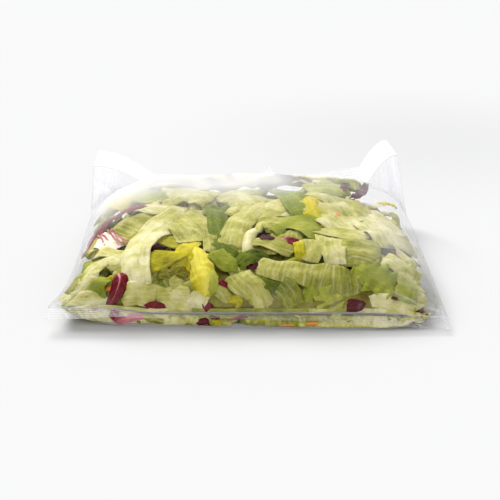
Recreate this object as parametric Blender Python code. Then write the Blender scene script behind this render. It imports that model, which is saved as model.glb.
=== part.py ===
"""A clear pillow bag of cut salad leaves, lying on its back on a table.

The bag is one closed solid out to its film. It has two film sheets, a top one and
a bottom one. Both are worked out on the same grid: `across` runs from the left side
fold (-1) to the right side fold (1), and `along` counts the stations from the cut
edge of the front seal (0) to the cut edge of the far seal (LAST).

+X is the bag's width, -Y its front seal, +Z up. The origin is on the table, under
the middle of the bag's box. Lengths are metres.
"""

import bpy
import bmesh
import numpy as np

# Driving sizes
BAG_WIDTH = 0.280          # side fold to side fold, at the front seal
LEFT_WAIST = 0.0050        # the filled bag pulls in by this much on the left
RIGHT_WAIST = 0.0010
FILM_HALF = 0.0007         # half the thickness of the two films where they lie together
SEAL_BAND = 0.013          # width of a crimped seal
FRONT_EDGE_Y = -0.122      # cut edge of the front seal
FAR_WALL_Y = 0.120         # the far end stands up at this distance
FOLD_HEIGHT = 0.010        # side folds above the table
HEAP_HEIGHT = 0.054        # the highest stretch of the filled bag
FRONT_SEAL_HEIGHT = 0.0095
FAR_SEAL_HEIGHT = 0.0315   # inner line of the far seal, at the middle
FAR_SEAL_CLIMB = 0.0070    # extra height of the far seal on the right
LEFT_EAR = 0.0225          # rise of the far seal's left corner
RIGHT_EAR = 0.0245         # rise of the far seal's right corner
LEFT_LEAN = 0.008          # the ears' tips lean in by this much
RIGHT_LEAN = 0.0195
TOP_FULLNESS = 5.0         # the higher, the flatter the middle of each film across the bag
BOTTOM_FULLNESS = 9.0
BOTTOM_SINK = 0.002        # the leaves press this much of the bottom film flat
FRONT_SKEW = 0.005         # the underside reaches further forward on the right

# Grid
COLUMNS = 40
BODY_ROWS = 40
CRIMP_RIBS = 4
ROWS_PER_RIB = 2
CRIMP_DEPTH = 0.00035

# Stations along the bag
FRONT_INNER = 1
FAR_INNER = 10
LAST = 11

# Lumps that the leaves press into the film, and gathers beside the seals
LUMP_SEED = 11
LUMP_COUNT = 60
LUMP_HEIGHT = 0.0046
LUMP_RADIUS = (0.08, 0.17)   # in half widths of the bag
HALF_WIDTHS_PER_STATION = 0.2
GATHER_DEPTH = 0.0010
GATHER_COUNT = 9

FILM_COLOUR = (0.72, 0.80, 0.42, 1.0)
FILM_ROUGHNESS = 0.25


def smooth_step(low, high, value):
    """0 below low, 1 above high, and a smooth rise between them."""
    ratio = np.clip((value - low) / (high - low), 0.0, 1.0)
    return ratio * ratio * (3.0 - 2.0 * ratio)


def hump(value, centre, radius):
    """A bell of height 1 at the centre."""
    return np.exp(-(((value - centre) / radius) ** 2))


def ear(value, start):
    """0 up to the start, then steep at first and level at 1."""
    return np.sin(0.5 * np.pi * np.clip((value - start) / (1.0 - start), 0.0, 1.0))


def dome(across, fullness, softness):
    """1 in the middle and 0 at the side folds: steep there if softness is under 1, and soft above."""
    return (1.0 - np.abs(across) ** fullness) ** softness


def front_seal_line(across):
    """Height of the front seal's inner line: its left end is carried higher."""
    left = 0.0045 * smooth_step(0.45, 0.75, -across)
    return FRONT_SEAL_HEIGHT + left - 0.0025 * smooth_step(0.6, 1.0, across)


def front_edge_rise(across):
    """How far the cut edge stands above the inner line: up in the middle, down at both ends."""
    middle = 0.0028 * hump(across, -0.28, 0.40)
    return middle - 0.0032 * smooth_step(0.3, 0.7, across) - 0.0030 * smooth_step(0.55, 0.8, -across)


def far_seal_line(across):
    """Height of the far seal's inner line: two ears, a kink, and a slow rise to the right."""
    ears = RIGHT_EAR * ear(across, 0.81) + LEFT_EAR * ear(-across, 0.64)
    kink = 0.0070 * hump(across, 0.15, 0.05) - 0.0150 * hump(across, 0.25, 0.055)
    return FAR_SEAL_HEIGHT + ears + kink + FAR_SEAL_CLIMB * smooth_step(0.3, 0.85, across)


def far_seal_depth(across):
    """How far back the far seal stands: it waves a little, and the kink is a fold forwards."""
    wave = 0.0018 * np.sin(7.5 * across + 0.6) - 0.0045 * hump(across, 0.25, 0.06)
    return FAR_WALL_Y + wave - 0.002 * smooth_step(0.7, 1.0, np.abs(across))


def stations(across):
    """The fold sheet, top film and bottom film as (y, z) at each station, for every column.

    The fold sheet is where the two films meet. Each film is that sheet plus its own
    swelling, which is full in the middle and gone at the side folds.
    """
    flat = np.zeros_like(across)
    edge_y = FRONT_EDGE_Y + flat
    inner_y = edge_y + SEAL_BAND
    inner_z = front_seal_line(across)
    edge_z = inner_z + front_edge_rise(across)
    far_y = far_seal_depth(across)
    far_z = far_seal_line(across)
    wall_z = FOLD_HEIGHT + 0.35 * (far_z - FOLD_HEIGHT)

    fold = [(edge_y, edge_z), (inner_y, inner_z)]
    for y in (-0.098, -0.084, -0.055, -0.010, 0.032, 0.074, 0.108):
        near_seal = smooth_step(-0.06, -0.11, y)
        fold.append((flat + y, FOLD_HEIGHT + near_seal * (inner_z - FOLD_HEIGHT)))
    fold += [(far_y - 0.001, wall_z), (far_y, far_z), (far_y + 0.001, far_z + SEAL_BAND)]

    # Middle line of each film at stations 2 to 9: y, height, then how softly it leaves the
    # side folds. The top film's height is a share of the heap's.
    top_line = [
        (-0.1040, 0.44, 1.10),
        (-0.0930, 0.65, 0.90),
        (-0.0660, 0.86, 0.74),
        (-0.0200, 0.95, 0.70),
        (0.0300, 0.98, 0.70),
        (0.0720, 1.00, 0.74),
        (0.1000, 0.93, 0.95),
        (0.1150, 0.78, 1.40),
    ]
    bottom_line = [
        (-0.1125, 0.0040, 1.0),
        (-0.1110, 0.0005, 0.9),
        (-0.0980, -BOTTOM_SINK, 0.7),
        (-0.0500, -BOTTOM_SINK, 0.7),
        (0.0100, -BOTTOM_SINK, 0.7),
        (0.0700, -BOTTOM_SINK, 0.7),
        (0.1080, -BOTTOM_SINK, 0.9),
        (0.1205, 0.0100, 1.4),
    ]
    top, bottom = fold[:FRONT_INNER + 1], fold[:FRONT_INNER + 1]
    for (fold_y, fold_z), (y, share, softness) in zip(fold[2:FAR_INNER], top_line):
        swell = dome(across, TOP_FULLNESS, softness)
        top.append((fold_y + (y - fold_y) * swell, fold_z + (share * HEAP_HEIGHT - fold_z) * swell))
    for (fold_y, fold_z), (y, z, softness) in zip(fold[2:FAR_INNER], bottom_line):
        swell = dome(across, BOTTOM_FULLNESS, softness)
        forward = FRONT_SKEW * across * smooth_step(-0.04, -0.11, y)
        bottom.append((fold_y + (y - forward - fold_y) * swell, fold_z + (z - fold_z) * swell))
    top += fold[FAR_INNER:]
    bottom += fold[FAR_INNER:]
    return [np.moveaxis(np.array(sheet), 1, 2) for sheet in (fold, top, bottom)]


def through_stations(points, along):
    """The sheet at each value of along.

    The seals are straight between their two stations. The body between them is a
    cubic through its stations, whose slope at each is half the step between its
    neighbours.
    """
    body = points[FRONT_INNER : FAR_INNER + 1]
    slope = np.gradient(body, axis=0)
    place = np.clip(along - FRONT_INNER, 0.0, FAR_INNER - FRONT_INNER)
    start = np.minimum(place.astype(int), FAR_INNER - FRONT_INNER - 1)
    u = (place - start)[:, None, None]
    sheet = (
        (2 * u**3 - 3 * u**2 + 1) * body[start]
        + (u**3 - 2 * u**2 + u) * slope[start]
        + (3 * u**2 - 2 * u**3) * body[start + 1]
        + (u**3 - u**2) * slope[start + 1]
    )
    before = np.clip(FRONT_INNER - along, 0.0, 1.0)[:, None, None]
    beyond = np.clip(along - FAR_INNER, 0.0, 1.0)[:, None, None]
    sheet += before * (points[0] - points[FRONT_INNER])
    return sheet + beyond * (points[LAST] - points[FAR_INNER])


def half_width(along, across):
    """Half the bag's width: the filled body pulls in, and the ears lean inwards."""
    waist = np.where(across > 0, RIGHT_WAIST, LEFT_WAIST)
    lean = np.where(across > 0, RIGHT_LEAN, LEFT_LEAN)
    pull = np.sin(np.pi * np.clip((along - FRONT_INNER) / 7.5, 0.0, 1.0)) ** 2
    turned_up = np.clip((along - 8.0) / (LAST - 8.0), 0.0, 1.0) ** 1.7
    return BAG_WIDTH / 2 - waist * pull - lean * turned_up


def lumps(across, along):
    """Rounded lumps of random size and place, and shallow gathers that fade away from the seals."""
    random = np.random.default_rng(LUMP_SEED)
    height = np.zeros_like(across)
    for _ in range(LUMP_COUNT):
        centre = random.uniform(-0.92, 0.92)
        station = random.uniform(2.3, 8.8)
        radius = random.uniform(*LUMP_RADIUS)
        rise = random.uniform(-0.8, 1.0) * LUMP_HEIGHT
        aside = (across - centre) / radius
        ahead = (along - station) * HALF_WIDTHS_PER_STATION / radius
        height += rise * np.exp(-(aside**2) - ahead**2)
    nearness = hump(along, FRONT_INNER + 1.0, 0.9) + hump(along, FAR_INNER - 0.8, 0.8)
    return height + GATHER_DEPTH * nearness * np.sin(GATHER_COUNT * np.pi * across + 0.7)


def crimp(along):
    """Ribs that run along both seals, as a rise of both films together."""
    ribs = np.sin(2 * np.pi * CRIMP_RIBS * along)
    in_seal = (along < FRONT_INNER) | (along > FAR_INNER)
    return np.where(in_seal, CRIMP_DEPTH * ribs, 0.0)


def film_sheets():
    """Points of the top and the bottom film, each rows by columns by xyz."""
    seal = np.linspace(0.0, 1.0, ROWS_PER_RIB * CRIMP_RIBS + 1)
    body = np.linspace(FRONT_INNER, FAR_INNER, BODY_ROWS + 1)[1:-1]
    rows = np.concatenate([seal, body, FAR_INNER + seal])
    columns = np.linspace(-1.0, 1.0, COLUMNS + 1)
    across, along = np.meshgrid(columns, rows)
    fold, top, bottom = (through_stations(sheet, rows) for sheet in stations(columns))

    # The way from the bottom film to the top film turns from up to forwards at the far end
    turn = 0.5 * np.pi * smooth_step(7.6, 9.3, along)
    facing = np.stack([np.zeros_like(turn), -np.sin(turn), np.cos(turn)], axis=-1)
    x = across * half_width(along, across)
    swell = np.clip(2.5 * np.linalg.norm(top - fold, axis=-1) / HEAP_HEIGHT, 0.0, 1.0)

    upper = np.dstack([x, top]) + facing * (FILM_HALF + crimp(along))[..., None]
    upper += facing * (lumps(across, along) * swell)[..., None]
    lower = np.dstack([x, bottom]) - facing * (FILM_HALF - crimp(along))[..., None]
    lower[..., 2] = np.maximum(lower[..., 2], 0.0)
    return upper, lower


def clear_scene():
    for item in list(bpy.data.objects):
        bpy.data.objects.remove(item, do_unlink=True)


def film_material():
    material = bpy.data.materials.new("film_over_leaves")
    material.use_nodes = True
    shader = material.node_tree.nodes["Principled BSDF"]
    shader.inputs["Base Color"].default_value = FILM_COLOUR
    shader.inputs["Roughness"].default_value = FILM_ROUGHNESS
    shader.inputs["Metallic"].default_value = 0.0
    return material


def grid_sheet(mesh, points):
    """A grid primitive whose vertices are moved onto the rows and columns of points."""
    rows, columns = points.shape[:2]
    made = bmesh.ops.create_grid(mesh, x_segments=columns - 1, y_segments=rows - 1, size=1.0)
    for vertex in made["verts"]:
        column = round((vertex.co.x + 1.0) / 2.0 * (columns - 1))
        row = round((vertex.co.y + 1.0) / 2.0 * (rows - 1))
        vertex.co = points[row, column]
    return made["verts"]


def rim(vertices):
    """The open edges round a sheet."""
    edges = {edge for vertex in vertices for edge in vertex.link_edges}
    return [edge for edge in edges if edge.is_boundary]


def salad_bag():
    upper, lower = film_sheets()
    points = np.vstack([upper.reshape(-1, 3), lower.reshape(-1, 3)])
    middle = (points.min(axis=0) + points.max(axis=0)) / 2
    shift = np.array([middle[0], middle[1], 0.0])

    film = bmesh.new()
    top_vertices = grid_sheet(film, upper - shift)
    bottom_vertices = grid_sheet(film, lower - shift)
    bmesh.ops.bridge_loops(film, edges=rim(top_vertices) + rim(bottom_vertices))
    bmesh.ops.recalc_face_normals(film, faces=film.faces)

    mesh = bpy.data.meshes.new("salad_bag")
    film.to_mesh(mesh)
    film.free()
    mesh.materials.append(film_material())
    mesh.shade_smooth()
    bag = bpy.data.objects.new("salad_bag", mesh)
    bpy.context.scene.collection.objects.link(bag)
    return bag


clear_scene()
salad_bag()
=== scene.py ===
"""The looks of a clear pillow bag of cut salad leaves, lying on its back on a table.

The film and everything in it share one pair of coordinates. `across` runs from the left
side fold (-1) to the right side fold (1). `along` counts the stations from the cut edge
of the front seal (0) to the cut edge of the far seal (11). Each leaf is laid out in these
coordinates, at a depth under the film, so it drapes with the film and never pierces it.

+X is the bag's width, -Y its front seal, +Z up. Lengths are metres, and leaf sizes are
millimetres where a name or a docstring says so.
"""

import logging
import math
from dataclasses import dataclass, field
from enum import Enum

import bpy
import numpy as np
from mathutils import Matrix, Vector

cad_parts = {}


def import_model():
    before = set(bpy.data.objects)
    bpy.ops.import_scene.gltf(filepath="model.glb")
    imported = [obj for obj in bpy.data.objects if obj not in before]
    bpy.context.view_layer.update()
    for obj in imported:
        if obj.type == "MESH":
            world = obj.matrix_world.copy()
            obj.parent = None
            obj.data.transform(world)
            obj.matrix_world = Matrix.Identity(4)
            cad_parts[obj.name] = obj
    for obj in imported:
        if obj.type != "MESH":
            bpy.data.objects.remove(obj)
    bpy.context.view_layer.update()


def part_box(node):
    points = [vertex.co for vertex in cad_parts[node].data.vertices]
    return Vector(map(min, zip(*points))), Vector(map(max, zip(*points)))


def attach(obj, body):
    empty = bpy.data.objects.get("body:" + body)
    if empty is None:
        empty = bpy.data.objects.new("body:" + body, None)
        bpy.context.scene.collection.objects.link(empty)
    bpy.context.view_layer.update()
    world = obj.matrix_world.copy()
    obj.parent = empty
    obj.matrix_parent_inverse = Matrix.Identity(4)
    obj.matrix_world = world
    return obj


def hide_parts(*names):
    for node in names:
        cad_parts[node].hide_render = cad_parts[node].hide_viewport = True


LOG = logging.getLogger("salad_bag")
NODE = "salad_bag"
BODY = "root"
MM = 0.001

Colour = tuple[float, float, float, float]
Place = tuple[float, float, float]


def smooth_step(low: float, high: float, value: np.ndarray) -> np.ndarray:
    """0 below low, 1 above high, and a smooth rise between them."""
    ratio = np.clip((value - low) / (high - low), 0.0, 1.0)
    return ratio * ratio * (3.0 - 2.0 * ratio)


def hump(value: np.ndarray, centre: float, radius: float) -> np.ndarray:
    """A bell of height 1 at the centre."""
    return np.exp(-(((value - centre) / radius) ** 2))


def unit(vectors: np.ndarray) -> np.ndarray:
    """The same vectors at length 1."""
    return vectors / np.maximum(np.linalg.norm(vectors, axis=-1, keepdims=True), 1e-12)


def grid_normals(points: np.ndarray) -> np.ndarray:
    """Unit normals of a grid of points: the step to the next column crossed with the step to the next row."""
    return unit(np.cross(np.gradient(points, axis=1), np.gradient(points, axis=0)))


def paint(red: int, green: int, blue: int) -> Colour:
    """A colour given as on a screen, 0 to 255, in the linear values that shaders take."""
    shares = np.array([red, green, blue]) / 255.0
    linear = np.where(shares <= 0.04045, shares / 12.92, ((shares + 0.055) / 1.055) ** 2.4)
    return (*(float(value) for value in linear), 1.0)


class Side(Enum):
    """Which film sheet a leaf lies against."""

    TOP = "top"
    BOTTOM = "bottom"


class Kind(Enum):
    """The kinds of leaf in the bag, by the name of their piece."""

    ICEBERG = "iceberg"
    GREEN = "green_leaf"
    YELLOW = "yellow_leaf"
    RADICCHIO = "radicchio"
    CARROT = "carrot"


class Cut(Enum):
    """The outline of a leaf piece."""

    STRIP = "strip"
    OVAL = "oval"
    BLADE = "blade"
    FRILL = "frill"
    SPEAR = "spear"


@dataclass(frozen=True)
class BagForm:
    """The two film sheets as formulas, the same ones that the bag's solid follows."""

    width: float = 0.280
    left_waist: float = 0.0050
    right_waist: float = 0.0010
    film_half: float = 0.0007
    seal_band: float = 0.013
    front_edge_y: float = -0.122
    far_wall_y: float = 0.120
    fold_height: float = 0.010
    heap_height: float = 0.054
    front_seal_height: float = 0.0095
    far_seal_height: float = 0.0315
    far_seal_climb: float = 0.0070
    left_ear: float = 0.0225
    right_ear: float = 0.0245
    left_lean: float = 0.008
    right_lean: float = 0.0195
    top_fullness: float = 5.0
    bottom_fullness: float = 9.0
    bottom_sink: float = 0.002
    front_skew: float = 0.005
    front_inner: int = 1
    far_inner: int = 10
    last: int = 11
    lump_seed: int = 11
    lump_count: int = 60
    lump_height: float = 0.0046
    lump_radius: tuple[float, float] = (0.08, 0.17)
    half_widths_per_station: float = 0.2
    gather_depth: float = 0.0010
    gather_count: int = 9

    @staticmethod
    def ear(value: np.ndarray, start: float) -> np.ndarray:
        """0 up to the start, then steep at first and level at 1."""
        return np.sin(0.5 * np.pi * np.clip((value - start) / (1.0 - start), 0.0, 1.0))

    @staticmethod
    def dome(across: np.ndarray, fullness: float, softness: float) -> np.ndarray:
        """1 in the middle and 0 at the side folds: (1 - |across|^fullness)^softness."""
        return (1.0 - np.abs(across) ** fullness) ** softness

    def front_seal_line(self, across: np.ndarray) -> np.ndarray:
        """Height of the front seal's inner line, whose left end is carried higher."""
        left = 0.0045 * smooth_step(0.45, 0.75, -across)
        return self.front_seal_height + left - 0.0025 * smooth_step(0.6, 1.0, across)

    @staticmethod
    def front_edge_rise(across: np.ndarray) -> np.ndarray:
        """How far the front's cut edge stands above the inner line."""
        middle = 0.0028 * hump(across, -0.28, 0.40)
        right = 0.0032 * smooth_step(0.3, 0.7, across)
        return middle - right - 0.0030 * smooth_step(0.55, 0.8, -across)

    def far_seal_line(self, across: np.ndarray) -> np.ndarray:
        """Height of the far seal's inner line: two ears, a kink, and a slow rise to the right."""
        ears = self.right_ear * self.ear(across, 0.81) + self.left_ear * self.ear(-across, 0.64)
        kink = 0.0070 * hump(across, 0.15, 0.05) - 0.0150 * hump(across, 0.25, 0.055)
        climb = self.far_seal_climb * smooth_step(0.3, 0.85, across)
        return self.far_seal_height + ears + kink + climb

    def far_seal_depth(self, across: np.ndarray) -> np.ndarray:
        """How far back the far seal stands: it waves a little, and the kink is a fold forwards."""
        wave = 0.0018 * np.sin(7.5 * across + 0.6) - 0.0045 * hump(across, 0.25, 0.06)
        return self.far_wall_y + wave - 0.002 * smooth_step(0.7, 1.0, np.abs(across))

    def stations(self, across: np.ndarray) -> list[np.ndarray]:
        """The fold sheet and both films as (y, z) at each station, for every value of across.

        The fold sheet is where the two films meet. Each film is that sheet plus its own
        swelling, which is full in the middle and gone at the side folds.

        Args:
            across: places across the bag, as a flat array.

        Returns:
            The fold sheet, the top film and the bottom film, each stations by places by (y, z).
        """
        flat = np.zeros_like(across)
        edge_y = self.front_edge_y + flat
        inner_z = self.front_seal_line(across)
        far_y = self.far_seal_depth(across)
        far_z = self.far_seal_line(across)
        wall_z = self.fold_height + 0.35 * (far_z - self.fold_height)

        fold = [(edge_y, inner_z + self.front_edge_rise(across)), (edge_y + self.seal_band, inner_z)]
        for y in (-0.098, -0.084, -0.055, -0.010, 0.032, 0.074, 0.108):
            near_seal = smooth_step(-0.06, -0.11, y)
            fold.append((flat + y, self.fold_height + near_seal * (inner_z - self.fold_height)))
        fold += [(far_y - 0.001, wall_z), (far_y, far_z), (far_y + 0.001, far_z + self.seal_band)]

        # Middle line of each film at stations 2 to 9: y, height, then how softly it leaves the
        # side folds. The top film's height is a share of the heap's.
        top_line = [
            (-0.1040, 0.44, 1.10),
            (-0.0930, 0.65, 0.90),
            (-0.0660, 0.86, 0.74),
            (-0.0200, 0.95, 0.70),
            (0.0300, 0.98, 0.70),
            (0.0720, 1.00, 0.74),
            (0.1000, 0.93, 0.95),
            (0.1150, 0.78, 1.40),
        ]
        bottom_line = [
            (-0.1125, 0.0040, 1.0),
            (-0.1110, 0.0005, 0.9),
            (-0.0980, -self.bottom_sink, 0.7),
            (-0.0500, -self.bottom_sink, 0.7),
            (0.0100, -self.bottom_sink, 0.7),
            (0.0700, -self.bottom_sink, 0.7),
            (0.1080, -self.bottom_sink, 0.9),
            (0.1205, 0.0100, 1.4),
        ]
        body = fold[self.front_inner + 1 : self.far_inner]
        top = fold[: self.front_inner + 1]
        bottom = fold[: self.front_inner + 1]
        for (fold_y, fold_z), (y, share, softness) in zip(body, top_line):
            swell = self.dome(across, self.top_fullness, softness)
            rise = share * self.heap_height - fold_z
            top.append((fold_y + (y - fold_y) * swell, fold_z + rise * swell))
        for (fold_y, fold_z), (y, z, softness) in zip(body, bottom_line):
            swell = self.dome(across, self.bottom_fullness, softness)
            forward = self.front_skew * across * smooth_step(-0.04, -0.11, y)
            bottom.append((fold_y + (y - forward - fold_y) * swell, fold_z + (z - fold_z) * swell))
        top += fold[self.far_inner :]
        bottom += fold[self.far_inner :]
        return [np.moveaxis(np.array(sheet), 1, 2) for sheet in (fold, top, bottom)]

    def through_stations(self, points: np.ndarray, along: np.ndarray) -> np.ndarray:
        """One sheet's (y, z) at each place.

        The seals are straight between their two stations. The body between them is a cubic
        through its stations, whose slope at each is half the step between its neighbours.

        Args:
            points: stations by places by (y, z).
            along: one value for each place.

        Returns:
            Places by (y, z).
        """
        body = points[self.front_inner : self.far_inner + 1]
        slope = np.gradient(body, axis=0)
        place = np.clip(along - self.front_inner, 0.0, self.far_inner - self.front_inner)
        start = np.minimum(place.astype(int), self.far_inner - self.front_inner - 1)
        pick = np.arange(along.size)
        u = (place - start)[:, None]
        sheet = (
            (2 * u**3 - 3 * u**2 + 1) * body[start, pick]
            + (u**3 - 2 * u**2 + u) * slope[start, pick]
            + (3 * u**2 - 2 * u**3) * body[start + 1, pick]
            + (u**3 - u**2) * slope[start + 1, pick]
        )
        before = np.clip(self.front_inner - along, 0.0, 1.0)[:, None]
        beyond = np.clip(along - self.far_inner, 0.0, 1.0)[:, None]
        sheet += before * (points[0] - points[self.front_inner])
        return sheet + beyond * (points[self.last] - points[self.far_inner])

    def half_width(self, along: np.ndarray, across: np.ndarray) -> np.ndarray:
        """Half the bag's width: the filled body pulls in, and the ears lean inwards."""
        waist = np.where(across > 0, self.right_waist, self.left_waist)
        lean = np.where(across > 0, self.right_lean, self.left_lean)
        pull = np.sin(np.pi * np.clip((along - self.front_inner) / 7.5, 0.0, 1.0)) ** 2
        turned_up = np.clip((along - 8.0) / (self.last - 8.0), 0.0, 1.0) ** 1.7
        return self.width / 2 - waist * pull - lean * turned_up

    def lumps(self, across: np.ndarray, along: np.ndarray) -> np.ndarray:
        """Rounded lumps of random size and place, and shallow gathers that fade away from the seals."""
        random = np.random.default_rng(self.lump_seed)
        height = np.zeros_like(across)
        for _ in range(self.lump_count):
            centre = random.uniform(-0.92, 0.92)
            station = random.uniform(2.3, 8.8)
            radius = random.uniform(*self.lump_radius)
            rise = random.uniform(-0.8, 1.0) * self.lump_height
            aside = (across - centre) / radius
            ahead = (along - station) * self.half_widths_per_station / radius
            height += rise * np.exp(-(aside**2) - ahead**2)
        near_front = hump(along, self.front_inner + 1.0, 0.9)
        near_far = hump(along, self.far_inner - 0.8, 0.8)
        waves = np.sin(self.gather_count * np.pi * across + 0.7)
        return height + self.gather_depth * (near_front + near_far) * waves

    def film(self, across: np.ndarray, along: np.ndarray) -> tuple[np.ndarray, np.ndarray, np.ndarray]:
        """The top film, the bottom film, and the way from the bottom one to the top one.

        Args:
            across: a grid of places across the bag.
            along: a grid of the same shape.

        Returns:
            Three arrays, each grid by xyz.
        """
        shape = across.shape
        fold, top, bottom = (
            self.through_stations(sheet, along.ravel()).reshape(*shape, 2)
            for sheet in self.stations(across.ravel())
        )
        turn = 0.5 * np.pi * smooth_step(7.6, 9.3, along)
        facing = np.stack([np.zeros_like(turn), -np.sin(turn), np.cos(turn)], axis=-1)
        x = across * self.half_width(along, across)
        swell = np.clip(2.5 * np.linalg.norm(top - fold, axis=-1) / self.heap_height, 0.0, 1.0)
        rise = self.film_half + self.lumps(across, along) * swell
        upper = np.dstack([x, top]) + facing * rise[..., None]
        lower = np.dstack([x, bottom]) - facing * self.film_half
        lower[..., 2] = np.maximum(lower[..., 2], 0.0)
        return upper, lower, facing


@dataclass
class Sheet:
    """One film sheet, sampled finely, so that any place on it can be looked up."""

    points: np.ndarray
    normals: np.ndarray
    room: np.ndarray
    reach: np.ndarray
    half_width: float
    rows_per_station: float
    columns_per_half: float

    def along_at(self, reach: np.ndarray) -> np.ndarray:
        """The station coordinate at a distance over the film from the front seal's inner line."""
        stations = 1.0 + np.arange(len(self.reach)) / self.rows_per_station
        before = np.minimum(reach, 0.0) / self.reach[self.rows_per_station]
        return np.interp(reach, self.reach, stations) + before

    def reach_at(self, along: np.ndarray) -> np.ndarray:
        """The distance over the film from the front seal's inner line, at a station coordinate."""
        stations = 1.0 + np.arange(len(self.reach)) / self.rows_per_station
        return np.interp(along, stations, self.reach)

    def look_up(self, across: np.ndarray, along: np.ndarray) -> tuple[np.ndarray, np.ndarray, np.ndarray]:
        """Film point, outward normal and room below the film, each blended from the four samples round a place.

        Args:
            across: places across the bag.
            along: station coordinates, of the same shape.

        Returns:
            Points, normals and room.
        """
        rows, columns = self.room.shape
        row = np.clip((along - 1.0) * self.rows_per_station, 0, rows - 1.001)
        column = np.clip((across + 1.0) * self.columns_per_half, 0, columns - 1.001)
        i = row.astype(int)
        j = column.astype(int)
        down = row - i
        right = column - j
        shares = (
            ((1 - down) * (1 - right), i, j),
            (down * (1 - right), i + 1, j),
            ((1 - down) * right, i, j + 1),
            (down * right, i + 1, j + 1),
        )
        point = sum(share[..., None] * self.points[a, b] for share, a, b in shares)
        normal = sum(share[..., None] * self.normals[a, b] for share, a, b in shares)
        room = sum(share * self.room[a, b] for share, a, b in shares)
        return point, unit(normal), room


def sample_sheets(form: BagForm, shift: np.ndarray) -> dict[Side, Sheet]:
    """Both film sheets as lookup tables.

    Args:
        form: the bag's formulas.
        shift: what brings the formulas' own middle to the middle of the bag's box.

    Returns:
        A table for each side.
    """
    columns_per_half = 160
    rows_per_station = 40
    stations = form.far_inner - form.front_inner
    columns = np.linspace(-1.0, 1.0, 2 * columns_per_half + 1)
    rows = np.linspace(form.front_inner, form.far_inner, stations * rows_per_station + 1)
    across, along = np.meshgrid(columns, rows)
    upper, lower, _ = form.film(across, along)
    room = np.linalg.norm(upper - lower, axis=-1)
    tables = {}
    for side, points, outward in ((Side.TOP, upper, 1.0), (Side.BOTTOM, lower, -1.0)):
        middle = points[:, columns_per_half]
        steps = np.linalg.norm(np.diff(middle, axis=0), axis=-1)
        reach = np.concatenate([[0.0], np.cumsum(steps)])
        normals = outward * grid_normals(points)
        tables[side] = Sheet(
            points - shift, normals, room, reach, form.width / 2, rows_per_station, columns_per_half
        )
    return tables


def shell_quads(rows: int, columns: int) -> np.ndarray:
    """Faces of a closed shell of two equal grids, numbered front grid first, then back grid.

    Front faces run (row, column), (row, column + 1), and so on round, so they face the way
    of the column step crossed with the row step. Back faces run the other way, and the rim
    joins both grids' outlines.
    """
    index = np.arange(rows * columns).reshape(rows, columns)
    a = index[:-1, :-1].ravel()
    b = index[:-1, 1:].ravel()
    c = index[1:, 1:].ravel()
    d = index[1:, :-1].ravel()
    back = rows * columns
    front_faces = np.stack([a, b, c, d], axis=1)
    back_faces = np.stack([a, d, c, b], axis=1) + back
    outline = np.concatenate([index[0], index[1:, -1], index[-1, -2::-1], index[-2:0:-1, 0]])
    following = np.roll(outline, -1)
    rim = np.stack([following, outline, outline + back, following + back], axis=1)
    return np.concatenate([front_faces, back_faces, rim])


def add_piece(
    name: str,
    points: np.ndarray,
    quads: np.ndarray,
    material: bpy.types.Material,
    uv: np.ndarray,
    values: dict[str, np.ndarray],
) -> bpy.types.Object:
    """Makes a smooth mesh object that stands for the bag's solid and rides on its body.

    Args:
        name: the piece's name.
        points: points by xyz.
        quads: faces by four point numbers.
        material: its finish.
        uv: points by (u, v).
        values: one number a point for each named attribute.

    Returns:
        The object, at the origin.
    """
    mesh = bpy.data.meshes.new(name)
    mesh.from_pydata(points, [], quads)
    layer = mesh.uv_layers.new(name="surface")
    layer.data.foreach_set("uv", uv[quads.ravel()].astype(np.float32).ravel())
    for attribute, numbers in values.items():
        made = mesh.attributes.new(attribute, "FLOAT", "POINT")
        made.data.foreach_set("value", numbers.astype(np.float32))
    mesh.materials.append(material)
    mesh.shade_smooth()
    piece = bpy.data.objects.new(name, mesh)
    bpy.context.scene.collection.objects.link(piece)
    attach(piece, BODY)
    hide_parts(NODE)
    LOG.info("%s: %d points, %d faces", name, len(points), len(quads))
    return piece


class Graph:
    """A shader node tree, with short ways to add and join nodes."""

    def __init__(self, tree: bpy.types.NodeTree) -> None:
        """Keeps the tree, emptied."""
        self.tree = tree
        tree.nodes.clear()

    def add(self, kind: str, inputs: dict | None = None, **settings: object) -> bpy.types.Node:
        """Adds a node.

        Args:
            kind: the node's type name.
            inputs: for each input, by name or number, a value or the socket to link to it.
            settings: the node's own properties.

        Returns:
            The node.
        """
        node = self.tree.nodes.new(kind)
        for name, value in settings.items():
            setattr(node, name, value)
        for key, value in (inputs or {}).items():
            if isinstance(value, bpy.types.NodeSocket):
                self.tree.links.new(value, node.inputs[key])
            else:
                node.inputs[key].default_value = value
        return node

    def sum_of(self, operation: str, first: object, second: object = 0.0) -> bpy.types.NodeSocket:
        """The result of a Math node, clamped to 0 to 1 where the operation's name ends in a star."""
        clamped = operation.endswith("*")
        node = self.add(
            "ShaderNodeMath", {0: first, 1: second}, operation=operation.rstrip("*"), use_clamp=clamped
        )
        return node.outputs[0]

    def blend(self, share: object, first: object, second: object) -> bpy.types.NodeSocket:
        """The result of a colour Mix node."""
        node = self.add("ShaderNodeMix", {0: share, 6: first, 7: second}, data_type="RGBA")
        return node.outputs[2]

    def ramp(self, share: bpy.types.NodeSocket, stops: list[tuple[float, Colour]]) -> bpy.types.NodeSocket:
        """The colour of a ramp with the given stops."""
        node = self.add("ShaderNodeValToRGB", {0: share})
        elements = node.color_ramp.elements
        while len(elements) < len(stops):
            elements.new(0.5)
        for element, (position, colour) in zip(elements, stops):
            element.position = position
            element.color = colour
        return node.outputs[0]


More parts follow.
